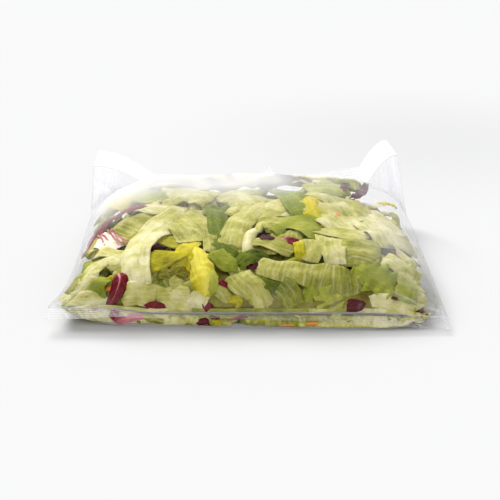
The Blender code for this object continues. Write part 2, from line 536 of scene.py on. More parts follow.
def leaf_grain_group() -> bpy.types.NodeTree:
    """A node group for the grain of a leaf.

    Streaks are noise stretched along the leaf, and mottle is broad noise in the bag's own
    coordinates. Ribs are thin lines that leave the midrib at a slant. The net is the walls
    between irregular cells, and the blisters are the cells' own domes.
    """
    tree = bpy.data.node_groups.new("leaf_grain", "ShaderNodeTree")
    graph = Graph(tree)
    for name, low, high, value in (
        ("Streaks per Metre", 0.0, 2000.0, 420.0),
        ("Stretch", 0.01, 1.0, 0.08),
        ("Rib Spacing", 0.001, 0.1, 0.008),
        ("Slant", 0.0, 4.0, 1.2),
        ("Cells per Metre", 10.0, 1000.0, 190.0),
    ):
        socket = tree.interface.new_socket(name, in_out="INPUT", socket_type="NodeSocketFloat")
        socket.min_value = low
        socket.max_value = high
        socket.default_value = value
    for name in ("Streak", "Mottle", "Rib", "Net", "Blister"):
        tree.interface.new_socket(name, in_out="OUTPUT", socket_type="NodeSocketFloat")
    given = graph.add("NodeGroupInput").outputs
    place = graph.add("ShaderNodeUVMap", uv_map="surface").outputs[0]
    split = graph.add("ShaderNodeSeparateXYZ", {0: place}).outputs
    stretched = graph.sum_of("MULTIPLY", split[0], given["Stretch"])
    lane = graph.add("ShaderNodeCombineXYZ", {0: stretched, 1: split[1]}).outputs[0]
    streak = graph.add(
        "ShaderNodeTexNoise",
        {"Vector": lane, "Scale": given["Streaks per Metre"], "Detail": 4.0, "Roughness": 0.65},
    ).outputs[0]
    room = graph.add("ShaderNodeTexCoord").outputs["Object"]
    mottle = graph.add(
        "ShaderNodeTexNoise", {"Vector": room, "Scale": 75.0, "Detail": 5.0, "Roughness": 0.6}
    ).outputs[0]
    aside = graph.sum_of("ABSOLUTE", split[1])
    bent = graph.sum_of("MULTIPLY", aside, given["Slant"])
    wander = graph.sum_of("MULTIPLY", graph.sum_of("SUBTRACT", mottle, 0.5), given["Rib Spacing"])
    lead = graph.sum_of("SUBTRACT", graph.sum_of("ADD", split[0], wander), bent)
    turns = graph.sum_of("DIVIDE", lead, given["Rib Spacing"])
    wave = graph.sum_of("PINGPONG", turns, 0.5)
    rib = graph.add(
        "ShaderNodeMapRange", {"Value": wave, "From Min": 0.10, "From Max": 0.0}, interpolation_type="SMOOTHSTEP"
    ).outputs[0]
    swirl = graph.add("ShaderNodeTexNoise", {"Vector": room, "Scale": 160.0, "Detail": 1.0}).outputs[1]
    swirl = graph.add("ShaderNodeVectorMath", {0: swirl, "Scale": 0.004}, operation="SCALE").outputs[0]
    swirled = graph.add("ShaderNodeVectorMath", {0: place, 1: swirl}, operation="ADD").outputs[0]
    cells = {"Vector": swirled, "Scale": given["Cells per Metre"], "Randomness": 0.9}
    walls = graph.add(
        "ShaderNodeTexVoronoi", cells, voronoi_dimensions="2D", feature="DISTANCE_TO_EDGE"
    ).outputs["Distance"]
    net = graph.add(
        "ShaderNodeMapRange", {"Value": walls, "From Min": 0.09, "From Max": 0.0}, interpolation_type="SMOOTHSTEP"
    ).outputs[0]
    domes = graph.add("ShaderNodeTexVoronoi", cells, voronoi_dimensions="2D", feature="SMOOTH_F1")
    blister = graph.sum_of("SUBTRACT", 1.0, domes.outputs["Distance"])
    graph.add(
        "NodeGroupOutput", {"Streak": streak, "Mottle": mottle, "Rib": rib, "Net": net, "Blister": blister}
    )
    return tree


@dataclass(frozen=True)
class LeafFinish:
    """The finish of one kind of leaf.

    `stops` are its colours from tone 0 to tone 1. `vein` is the colour of its ribs and
    streaks, which show by `rib_share` and `streak_share`. `glow` is how much light comes
    through the blade.
    """

    name: str
    stops: tuple[tuple[float, Colour], ...]
    vein: Colour
    rib_share: float = 0.25
    streak_share: float = 0.35
    net_share: float = 0.25
    mottle_share: float = 0.55
    streaks_per_metre: float = 420.0
    stretch: float = 0.08
    rib_spacing: float = 0.009
    slant: float = 1.2
    cells_per_metre: float = 190.0
    roughness: float = 0.38
    glow: float = 0.42
    bump: float = 0.7
    pucker: float = 0.5

    def material(self, grain: bpy.types.NodeTree) -> bpy.types.Material:
        """The finish as a material: a glossy leaf skin mixed with light that comes through it."""
        material = bpy.data.materials.new(self.name)
        material.use_nodes = True
        graph = Graph(material.node_tree)
        marks = graph.add("ShaderNodeGroup", node_tree=grain)
        marks.inputs["Streaks per Metre"].default_value = self.streaks_per_metre
        marks.inputs["Stretch"].default_value = self.stretch
        marks.inputs["Rib Spacing"].default_value = self.rib_spacing
        marks.inputs["Slant"].default_value = self.slant
        marks.inputs["Cells per Metre"].default_value = self.cells_per_metre
        streak, mottle, rib = (marks.outputs[name] for name in ("Streak", "Mottle", "Rib"))

        tone = graph.add("ShaderNodeAttribute", attribute_name="tone").outputs["Fac"]
        patch = graph.sum_of("MULTIPLY", graph.sum_of("SUBTRACT", mottle, 0.5), self.mottle_share)
        colour = graph.ramp(graph.sum_of("ADD*", tone, patch), list(self.stops))
        pale_streak = graph.add(
            "ShaderNodeMapRange",
            {"Value": streak, "From Min": 0.5, "From Max": 0.72, "To Max": self.streak_share},
        ).outputs[0]
        pale_rib = graph.sum_of("MULTIPLY", rib, self.rib_share)
        pale_net = graph.sum_of("MULTIPLY", marks.outputs["Net"], self.net_share)
        pale = graph.sum_of("MAXIMUM", graph.sum_of("MAXIMUM", pale_streak, pale_rib), pale_net)
        colour = graph.blend(pale, colour, self.vein)
        dark_streak = graph.add(
            "ShaderNodeMapRange",
            {"Value": streak, "From Min": 0.48, "From Max": 0.28, "To Min": 1.0, "To Max": 0.72},
        ).outputs[0]
        colour = graph.add(
            "ShaderNodeHueSaturation", {"Value": dark_streak, "Color": colour}
        ).outputs[0]

        height = graph.sum_of("ADD", graph.sum_of("MULTIPLY", streak, 0.8), graph.sum_of("MULTIPLY", rib, 0.25))
        domes = graph.sum_of("MULTIPLY", marks.outputs["Blister"], self.pucker)
        height = graph.sum_of("ADD", height, domes)
        normal = graph.add(
            "ShaderNodeBump", {"Height": height, "Strength": self.bump, "Distance": 0.0012}
        ).outputs[0]
        skin = graph.add(
            "ShaderNodeBsdfPrincipled",
            {"Base Color": colour, "Roughness": self.roughness, "Normal": normal},
        )
        skin.inputs["Specular IOR Level"].default_value = 0.2
        through = graph.add(
            "ShaderNodeHueSaturation", {"Saturation": 1.15, "Value": 1.05, "Color": colour}
        ).outputs[0]
        glow = graph.add("ShaderNodeBsdfTranslucent", {"Color": through, "Normal": normal}).outputs[0]
        mixed = graph.add("ShaderNodeMixShader", {0: self.glow, 1: skin.outputs[0], 2: glow}).outputs[0]
        graph.add("ShaderNodeOutputMaterial", {0: mixed})
        return material


LEAF_FINISHES = {
    Kind.ICEBERG: LeafFinish(
        "iceberg_leaf",
        (
            (0.00, paint(248, 243, 204)),
            (0.30, paint(218, 213, 122)),
            (0.60, paint(176, 174, 66)),
            (1.00, paint(104, 120, 26)),
        ),
        vein=paint(244, 242, 200),
        rib_share=0.0,
        streak_share=0.62,
        net_share=0.14,
        mottle_share=1.25,
        pucker=0.35,
    ),
    Kind.GREEN: LeafFinish(
        "curled_green_leaf",
        (
            (0.00, paint(210, 210, 96)),
            (0.35, paint(168, 176, 54)),
            (0.70, paint(112, 130, 24)),
            (1.00, paint(58, 72, 8)),
        ),
        vein=paint(214, 216, 120),
        rib_share=0.3,
        streak_share=0.3,
        mottle_share=1.0,
        net_share=0.15,
        rib_spacing=0.006,
        glow=0.45,
        pucker=0.8,
    ),
    Kind.YELLOW: LeafFinish(
        "yellow_heart_leaf",
        (
            (0.00, paint(250, 240, 104)),
            (0.35, paint(234, 220, 26)),
            (0.70, paint(192, 184, 14)),
            (1.00, paint(128, 120, 8)),
        ),
        vein=paint(250, 246, 150),
        rib_share=0.3,
        mottle_share=1.0,
        net_share=0.2,
        rib_spacing=0.007,
        glow=0.45,
        pucker=0.8,
    ),
    Kind.RADICCHIO: LeafFinish(
        "radicchio_leaf",
        (
            (0.00, paint(246, 238, 214)),
            (0.22, paint(214, 138, 148)),
            (0.42, paint(112, 0, 16)),
            (1.00, paint(34, 4, 12)),
        ),
        vein=paint(206, 120, 132),
        rib_share=0.14,
        streak_share=0.06,
        net_share=0.05,
        mottle_share=0.4,
        rib_spacing=0.009,
        roughness=0.3,
        glow=0.12,
    ),
    Kind.CARROT: LeafFinish(
        "carrot_shred",
        (
            (0.00, paint(244, 168, 84)),
            (1.00, paint(216, 98, 24)),
        ),
        vein=paint(246, 184, 104),
        rib_share=0.0,
        net_share=0.0,
        glow=0.15,
        pucker=0.0,
    ),
}


@dataclass(frozen=True)
class Leaf:
    """One piece of leaf.

    `spine` gives its middle line as (across, along, depth under the film in mm). `width`
    is its full width in mm at the start and the end. `roll` turns it about its spine, in
    degrees, at the start and the end. `cup` is half the angle that its cross-section bends
    through, in radians, over 0 where its middle lies nearest the film. `curl` bends its
    two long edges further, in degrees, over 0 away from the film. `ruffle`, `crumple` and
    `tuck` are how far in mm its edges wave, its blade buckles and its ends dive. `tone`
    runs from the start to the end, and `rim_tone` is added towards both long edges.
    """

    kind: Kind
    spine: tuple[Place, ...]
    width: tuple[float, float]
    cut: Cut = Cut.STRIP
    roll: tuple[float, float] = (0.0, 0.0)
    cup: float = 0.1
    curl: tuple[float, float] = (0.0, 0.0)
    ruffle: float = 0.6
    crumple: float = 0.7
    tuck: float = 2.5
    tone: tuple[float, float] = (0.3, 0.3)
    rim_tone: float = 0.0
    midrib: float = 0.3
    side: Side = Side.TOP
    cross_ribbed: bool = False


@dataclass(frozen=True)
class Shell:
    """A leaf's mesh: its points, UV places in metres, and tone at each point."""

    points: np.ndarray
    uv: np.ndarray
    tone: np.ndarray


@dataclass
class LeafMaker:
    """Turns leaves into closed thin shells that follow the film."""

    sheets: dict[Side, Sheet]
    rows: int = 28
    columns: int = 13
    blade: float = 0.35 * MM
    least_depth: float = 0.45 * MM
    least_height: float = 1.2 * MM
    far_wall: float = 0.1205
    room_used: float = 0.86

    def spine_at(self, knots: np.ndarray, u: np.ndarray) -> np.ndarray:
        """A smooth curve through the knots, which it passes at even steps of u.

        Between two knots it is a cubic whose slope at each knot is half the step between
        the knots beside it.
        """
        slope = np.gradient(knots, axis=0)
        place = u * (len(knots) - 1)
        start = np.minimum(place.astype(int), len(knots) - 2)
        w = (place - start)[:, None]
        return (
            (2 * w**3 - 3 * w**2 + 1) * knots[start]
            + (w**3 - 2 * w**2 + w) * slope[start]
            + (3 * w**2 - 2 * w**3) * knots[start + 1]
            + (w**3 - w**2) * slope[start + 1]
        )

    @staticmethod
    def waves(value: np.ndarray, random: np.random.Generator, octaves: int) -> np.ndarray:
        """A random line between about -1 and 1: sines of rising frequency and falling size."""
        line = np.zeros_like(value)
        for octave in range(octaves):
            phase = random.uniform(0.0, 2 * np.pi)
            frequency = (octave + random.uniform(0.6, 1.3)) * np.pi
            line += np.sin(frequency * value + phase) / (octave + 1.0)
        return line / 1.5

    @staticmethod
    def buckles(lengthwise: np.ndarray, sideways: np.ndarray, random: np.random.Generator) -> np.ndarray:
        """A random rough surface between about -1 and 1: sines of many headings and wavelengths."""
        rise = np.zeros_like(lengthwise)
        for wavelength in (0.026, 0.019, 0.014, 0.010, 0.0075, 0.0055):
            heading = random.uniform(0, np.pi)
            lead = lengthwise * math.cos(heading) + sideways * math.sin(heading)
            rise += wavelength / 0.026 * np.sin(2 * np.pi * lead / wavelength + random.uniform(0, 2 * np.pi))
        return rise / 1.6

    @staticmethod
    def section(leaf: Leaf, v: np.ndarray) -> tuple[np.ndarray, np.ndarray]:
        """The cross-section for a half width of 1: how far aside, and how far from the film.

        Its slope angle is the cup's share of v, plus the curl's share near each edge. The
        two lines are the running sums of that angle's cosine and sine, 0 in the middle.
        """
        near_edge = smooth_step(0.45, 1.0, np.abs(v))
        curl = np.where(v < 0, leaf.curl[0], leaf.curl[1])
        angle = leaf.cup * v + np.sign(v) * np.radians(curl) * near_edge
        step = v[1] - v[0]
        lines = []
        for slope in (np.cos(angle), np.sin(angle)):
            total = np.concatenate([[0.0], np.cumsum(0.5 * (slope[1:] + slope[:-1]))]) * step
            lines.append(total - total[len(v) // 2])
        return lines[0], lines[1]

    def outline(self, leaf: Leaf, u: np.ndarray) -> np.ndarray:
        """Half the leaf's width along its length, as a share of its full half width."""
        from_middle = np.abs(2 * u - 1)
        if leaf.cut is Cut.STRIP:
            shape = (1 - from_middle**40) ** 0.35
        elif leaf.cut is Cut.OVAL:
            shape = (1 - from_middle**2.6) ** 0.55
        elif leaf.cut is Cut.BLADE:
            shape = 1.55 * (u + 0.02) ** 0.45 * (1.0 - u) ** 0.62
        elif leaf.cut is Cut.SPEAR:
            shape = (1 - from_middle**40) ** 0.35 * (1 - smooth_step(0.72, 1.05, u))
        else:
            shape = (1 - from_middle**5) ** 0.5
        return np.maximum(shape, 0.03)

    def shell(self, leaf: Leaf, seed: int) -> Shell:
        """A leaf as a shell.

        The spine is a curve over the film. The cross-section is an arc of the cup's angle,
        turned about the spine by the roll. Edge noise, ruffles and crumples are sines with
        random phases. The depth is then kept between the film and most of the room below.

        Args:
            leaf: the leaf.
            seed: what its small irregularities are drawn from.

        Returns:
            The leaf's points, front grid first, with their UV places and tones.
        """
        random = np.random.default_rng(seed)
        sheet = self.sheets[leaf.side]
        u = np.linspace(0.0, 1.0, self.rows)
        v = np.linspace(-1.0, 1.0, self.columns)[None, :]
        along_u = u[:, None]

        knots = np.array(leaf.spine, dtype=float)
        knots = np.stack(
            [knots[:, 0] * sheet.half_width, sheet.reach_at(knots[:, 1]), knots[:, 2] * MM], axis=1
        )
        spine = self.spine_at(knots, u)
        heading = unit(np.gradient(spine[:, :2], axis=0))
        aside = np.stack([-heading[:, 1], heading[:, 0]], axis=1)
        length = np.linalg.norm(np.diff(spine, axis=0), axis=1).sum()

        half = 0.5 * MM * (leaf.width[0] + (leaf.width[1] - leaf.width[0]) * u) * self.outline(leaf, u)
        rag = 0.14 if leaf.cut is Cut.FRILL else 0.045
        left = 1 + rag * self.waves(2 * u, random, 4)
        right = 1 + rag * self.waves(2 * u, random, 4)
        if leaf.cut is Cut.FRILL:
            lobes = max(2.0, length / 0.009)
            left += 0.20 * np.abs(np.sin(np.pi * lobes * u + random.uniform(0, np.pi))) - 0.1
            right += 0.20 * np.abs(np.sin(np.pi * lobes * u + random.uniform(0, np.pi))) - 0.1
        spread = np.where(v < 0, left[:, None], right[:, None])
        offset = half[:, None] * spread * v

        flat, drop = (half[:, None] * spread * line for line in self.section(leaf, v[0]))
        roll = np.radians(leaf.roll[0] + (leaf.roll[1] - leaf.roll[0]) * along_u)
        lateral = flat * np.cos(roll) - drop * np.sin(roll)
        deeper = flat * np.sin(roll) + drop * np.cos(roll)

        ends = 0.025 * length * (2 * along_u - 1) ** 3 * self.waves(1.2 * v, random, 3)
        lean = min(0.22, 3.0 * MM / half.max())
        slant = random.uniform(-lean, lean) * offset * (2 * along_u - 1) ** 2
        place = (
            spine[:, None, :2]
            + aside[:, None, :] * lateral[..., None]
            + heading[:, None, :] * (ends + slant)[..., None]
        )
        ripples = length / (0.008 if leaf.cut is Cut.FRILL else 0.022)
        edge = np.abs(v) ** 1.6
        ruffle = leaf.ruffle * MM * edge * np.sin(
            2 * np.pi * ripples * along_u + np.sign(v) * random.uniform(0.5, 2.5) + random.uniform(0, 6)
        )
        buckle = leaf.crumple * MM * self.buckles(along_u * length + 0 * v, offset, random)
        tuck = leaf.tuck * MM * np.abs(2 * along_u - 1) ** 4
        depth = spine[:, None, 2] + deeper + ruffle + buckle + tuck

        across = np.clip(place[..., 0] / sheet.half_width, -0.985, 0.985)
        along = np.minimum(sheet.along_at(place[..., 1]), 9.97)
        # near the front seal the rest of the leaf is squeezed in, so that it never folds flat
        squeezed = 1.003 + 0.1 * np.exp(np.minimum(along - 1.103, 0.0) / 0.1)
        along = np.where(along < 1.103, squeezed, along)
        film, normal, room = sheet.look_up(across, along)
        depth = np.clip(depth, self.least_depth, np.maximum(self.room_used * room, 0.6 * MM))
        points = film - normal * depth[..., None]
        points[..., 2] = np.maximum(points[..., 2], self.least_height)
        points[..., 1] = np.minimum(points[..., 1], self.far_wall - self.least_height)

        rib = np.exp(-((v / 0.16) ** 2)) * (1 - 0.6 * along_u)
        thickness = self.blade * (0.35 + 0.65 * (1 - v**2)) + leaf.midrib * MM * rib
        push = grid_normals(points) * (0.5 * thickness)[..., None]
        lengthwise = along_u * length + 0 * v
        sideways = offset + 0 * along_u
        if leaf.cross_ribbed:
            lengthwise, sideways = sideways, lengthwise
        uv = np.stack([lengthwise, sideways], axis=-1)
        tone = leaf.tone[0] + (leaf.tone[1] - leaf.tone[0]) * along_u + leaf.rim_tone * np.abs(v) ** 1.5
        tone = tone - 0.35 * leaf.midrib * rib - 0.10 * smooth_step(0.8, 1.0, np.abs(v))
        return Shell(
            np.concatenate([(points + push).reshape(-1, 3), (points - push).reshape(-1, 3)]),
            np.tile(uv.reshape(-1, 2), (2, 1)),
            np.tile(tone.ravel(), 2),
        )


def strip(kind: Kind, spine: tuple[Place, ...], width: float, **more: object) -> Leaf:
    """A leaf of one width along its whole length."""
    return Leaf(kind, spine, (width, width), **more)


def left_leaves() -> list[Leaf]:
    """The leaves that show on the bag's left third."""
    ice, green, yellow, red = Kind.ICEBERG, Kind.GREEN, Kind.YELLOW, Kind.RADICCHIO
    return [
        # the radicchio leaf by the left fold: its dark rim, then its streaked pale rib
        strip(red, ((-0.935, 4.65, 1.2), (-0.90, 5.1, 1.0), (-0.82, 5.45, 1.0), (-0.70, 5.6, 1), (-0.565, 5.55, 1.6)),
              12, cup=0.5, tone=(0.42, 0.52), tuck=1.0),
        strip(red, ((-0.90, 4.95, 1.6), (-0.81, 4.65, 1.2), (-0.73, 4.35, 2.0)), 20, tone=(0.0, 0.04),
              ruffle=1.2),
        *(strip(red, ((-0.88 + step, 5.05, 0.9), (-0.825 + step, 4.7, 0.6), (-0.80 + 1.6 * step, 4.45, 1.2)), 1.5,
                tone=(0.34, 0.26), ruffle=0.2, midrib=0.0) for step in (0.0, 0.022, 0.062, 0.085)),
        strip(ice, ((-0.86, 4.35, 1.5), (-0.77, 4.2, 1.4), (-0.69, 4.0, 2.5)), 14, tone=(0.15, 0.2)),
        strip(yellow, ((-0.80, 6.5, 1.5), (-0.76, 6.2, 1.4), (-0.70, 5.95, 2.5)), 24, tone=(0.2, 0.35)),
        strip(green, ((-0.70, 6.3, 1.6), (-0.58, 6.05, 1.2), (-0.47, 5.85, 2)), 26, tone=(0.1, 0.3)),
        strip(ice, ((-0.78, 5.4, 4.5), (-0.62, 4.95, 3.5), (-0.50, 4.7, 4.5)), 50, tone=(0.5, 0.65), ruffle=1.5,
              midrib=0.8),
        # the long pale strip that folds over on the left
        Leaf(ice, ((-0.36, 5.6, 2.2), (-0.45, 5.1, 1.2), (-0.545, 4.6, 0.8), (-0.61, 4.05, 0.7),
                   (-0.60, 3.3, 0.8), (-0.57, 2.6, 1.2), (-0.555, 2.1, 2.2)), (36, 19), tone=(0.32, 0.0),
             roll=(10, -10), curl=(55, -10), tuck=1.5),
        strip(ice, ((-0.67, 3.6, 2.4), (-0.77, 3.85, 1.4), (-0.845, 3.3, 1.2), (-0.845, 2.35, 2.0)), 19,
              tone=(0.22, 0.38), cup=0.3),
        strip(green, ((-0.74, 3.0, 2.4), (-0.785, 2.45, 1.6), (-0.765, 1.55, 2)), 15, tone=(0.25, 0.5)),
        Leaf(red, ((-0.675, 3.05, 0.9), (-0.655, 2.6, 0.7), (-0.67, 1.9, 0.8), (-0.705, 0.85, 1.0)), (17, 15),
             Cut.BLADE, tone=(0.45, 0.6), midrib=1.0, cup=0.35, tuck=1.0),
        strip(ice, ((-0.93, 1.75, 1.5), (-0.82, 1.6, 1), (-0.70, 1.15, 1.2)), 18, tone=(0.3, 0.26), ruffle=1.4),
        Leaf(red, ((-0.53, 1.12, 0.8), (-0.47, 1.3, 0.6), (-0.40, 1.1, 0.9)), (8, 7), Cut.OVAL,
             tone=(0.45, 0.5)),
        strip(yellow, ((-0.53, 3.45, 2.0), (-0.45, 3.6, 1.6), (-0.36, 3.9, 2.4)), 24, tone=(0.78, 0.66),
              ruffle=1.2, roll=(0, 14)),
        strip(yellow, ((-0.30, 4.4, 2), (-0.335, 3.8, 1.5), (-0.36, 3.0, 2.5)), 15, tone=(0.5, 0.62)),
        strip(yellow, ((-0.47, 3.0, 1.9), (-0.39, 2.95, 1.8), (-0.31, 3.1, 2.2)), 10, tone=(1.15, 1.2)),
        strip(ice, ((-0.43, 2.75, 2.5), (-0.38, 2.45, 2.0), (-0.32, 2.55, 2.5)), 12, tone=(0.5, 0.55)),
        strip(ice, ((-0.385, 2.45, 1.4), (-0.38, 1.8, 1.0), (-0.375, 0.85, 0.9)), 24, tone=(0.36, 0.26),
              cross_ribbed=True, roll=(-6, -6)),
        strip(ice, ((-0.64, 1.7, 1.8), (-0.55, 1.9, 1.5), (-0.46, 1.75, 2)), 19, tone=(0.32, 0.2), ruffle=1.8),
        strip(yellow, ((-0.47, 4.6, 3.6), (-0.40, 4.4, 3.2), (-0.30, 4.5, 3.6)), 26, tone=(0.75, 0.65)),
        # the pale, hazy leaves under the top of the film
        strip(ice, ((-0.43, 5.5, 3.0), (-0.33, 5.0, 2.6), (-0.23, 4.5, 3.6)), 44, tone=(0.36, 0.42), roll=(0, 8)),
        strip(ice, ((-0.52, 6.1, 1.8), (-0.36, 6.2, 1.4), (-0.20, 6.1, 2)), 40, tone=(0.2, 0.4), ruffle=1.4),
        strip(ice, ((-0.64, 5.75, 2), (-0.53, 5.55, 1.6), (-0.42, 5.65, 2)), 28, tone=(0.16, 0.22)),
    ]


def middle_leaves() -> list[Leaf]:
    """The leaves that show on the bag's middle third."""
    ice, green, yellow, red = Kind.ICEBERG, Kind.GREEN, Kind.YELLOW, Kind.RADICCHIO
    return [
        # the yellow heart leaf, and the pale piece that hangs from it
        Leaf(yellow, ((-0.285, 4.0, 1.4), (-0.25, 3.25, 0.7), (-0.215, 2.5, 0.7), (-0.215, 1.7, 1.5)), (20, 23),
             Cut.FRILL, tone=(-0.15, 0.3), cup=0.6, midrib=1.0, roll=(-10, 8), tuck=1.0, rim_tone=0.25, ruffle=1.2),
        Leaf(green, ((-0.195, 3.2, 0.6), (-0.175, 2.5, 0.6), (-0.19, 1.8, 0.9)), (5, 7), Cut.FRILL, tone=(0.1, 0.25)),
        strip(ice, ((-0.23, 1.95, 1.2), (-0.26, 1.5, 1.0), (-0.30, 0.85, 1.5)), 14, tone=(0.15, 0.15)),
        strip(green, ((-0.19, 5.85, 2.4), (-0.175, 5.1, 1.8), (-0.15, 4.35, 1.8), (-0.11, 3.75, 2.5)), 17,
              tone=(0.6, 0.75), cup=0.3),
        strip(ice, ((-0.215, 4.8, 2.6), (-0.21, 4.35, 2), (-0.20, 3.95, 2.5)), 11, tone=(0.6, 0.5)),
        Leaf(green, ((-0.20, 3.9, 1.5), (-0.13, 3.5, 1.2), (-0.05, 3.1, 2)), (17, 12), Cut.SPEAR,
             tone=(0.35, 0.45), roll=(0, -10)),
        strip(ice, ((-0.17, 6.0, 1.6), (-0.06, 6.2, 1), (0.05, 5.8, 2)), 30, tone=(0.36, 0.26), cup=0.4),
        strip(green, ((-0.08, 6.2, 2.2), (-0.02, 6.3, 1.8), (0.04, 6.1, 2.4)), 20, tone=(0.1, 0.2)),
        strip(ice, ((-0.135, 5.65, 2.6), (-0.08, 5.6, 2.2), (-0.03, 5.5, 2.8)), 28, tone=(0.34, 0.42)),
        # the arching strip whose cream end rolls up
        strip(ice, ((0.10, 5.85, 2.0), (0.03, 5.45, 1.2), (-0.05, 4.9, 1.2), (-0.105, 4.05, 2.2)), 22,
              tone=(0.26, 0.42), cup=0.4, roll=(0, 16)),
        strip(ice, ((0.035, 4.75, 1.5), (0.0, 4.35, 0.6), (0.0, 3.75, 1.5)), 13, tone=(0.0, 0.12), cup=1.2,
              midrib=0.6),
        strip(ice, ((0.02, 4.35, 3), (0.12, 4.15, 2.5), (0.25, 4.0, 3)), 24, tone=(0.5, 0.5), roll=(12, 0)),
        strip(ice, ((0.05, 5.15, 3), (0.15, 5.1, 2.5), (0.25, 5.0, 3.5)), 30, tone=(0.5, 0.6), roll=(-8, 8)),
        strip(ice, ((0.045, 4.6, 2), (0.08, 4.85, 1), (0.125, 4.6, 2)), 8, tone=(0.3, 0.4), cup=0.9),
        Leaf(green, ((0.10, 4.75, 2.2), (0.14, 4.65, 1.8), (0.19, 4.5, 2.6)), (12, 10), Cut.FRILL, tone=(0.4, 0.5)),
        strip(red, ((0.15, 4.3, 3.2), (0.20, 4.22, 3.0), (0.265, 4.15, 3.2)), 8, tone=(0.12, 0.6)),
        strip(red, ((0.055, 4.28, 1.4), (0.105, 4.25, 1.2), (0.155, 4.22, 1.4)), 7, tone=(0.85, 0.95)),
        strip(red, ((-0.01, 3.32, 1.8), (0.03, 3.28, 1.6), (0.06, 3.3, 1.8)), 6, tone=(0.9, 0.9)),
        strip(yellow, ((0.255, 4.15, 2), (0.265, 3.85, 1.8), (0.27, 3.55, 2.5)), 8, tone=(0.5, 0.6)),
        Leaf(green, ((0.13, 4.9, 2.0), (0.28, 4.8, 1.2), (0.41, 4.75, 1.8)), (5, 52), tone=(0.2, 0.35),
             roll=(0, -6)),
        strip(green, ((0.20, 6.5, 2), (0.27, 5.75, 1.5), (0.34, 5.0, 2.5)), 26, tone=(0.4, 0.55), roll=(8, 8)),
        strip(green, ((-0.06, 3.45, 2.2), (0.02, 3.6, 1.8), (0.10, 3.5, 3)), 15, tone=(0.7, 0.9), midrib=0.2),
        # the ribbed pale strip that runs down to the seal
        strip(ice, ((-0.07, 3.1, 1.2), (-0.03, 2.7, 0.9), (0.03, 2.0, 0.9), (0.07, 0.85, 1.0)), 21,
              tone=(0.44, 0.36), cup=0.3, roll=(6, -8)),
        strip(green, ((0.0, 3.0, 2.8), (0.10, 2.75, 2.4), (0.21, 2.5, 3.0)), 18, tone=(0.6, 0.75)),
        strip(ice, ((0.13, 2.35, 2.4), (0.18, 1.75, 2.0), (0.21, 0.85, 1.2)), 24, tone=(0.85, 0.75), roll=(-10, -10)),
        Leaf(yellow, ((-0.105, 1.5, 1.6), (-0.06, 1.6, 1.2), (-0.035, 1.2, 1.5)), (6, 8), Cut.FRILL,
             tone=(0.5, 0.8), ruffle=1.8),
        strip(ice, ((-0.19, 2.3, 1.8), (-0.13, 1.95, 1.2), (-0.10, 1.4, 1.6)), 13, tone=(0.4, 0.5), cup=0.9),
        strip(red, ((-0.24, 1.2, 1.2), (-0.21, 1.25, 1.0), (-0.18, 1.1, 1.2)), 7, tone=(0.5, 0.55)),
        strip(red, ((-0.15, 2.6, 2.0), (-0.13, 2.5, 1.8), (-0.10, 2.45, 2.2)), 4, tone=(0.5, 0.5)),
        strip(red, ((0.235, 1.6, 1.5), (0.255, 1.62, 1.4), (0.28, 1.6, 1.6)), 4, tone=(0.5, 0.5)),
        strip(ice, ((0.07, 5.7, 2.5), (0.14, 5.5, 2), (0.21, 5.3, 3)), 30, tone=(0.3, 0.4), roll=(-8, 0)),
    ]


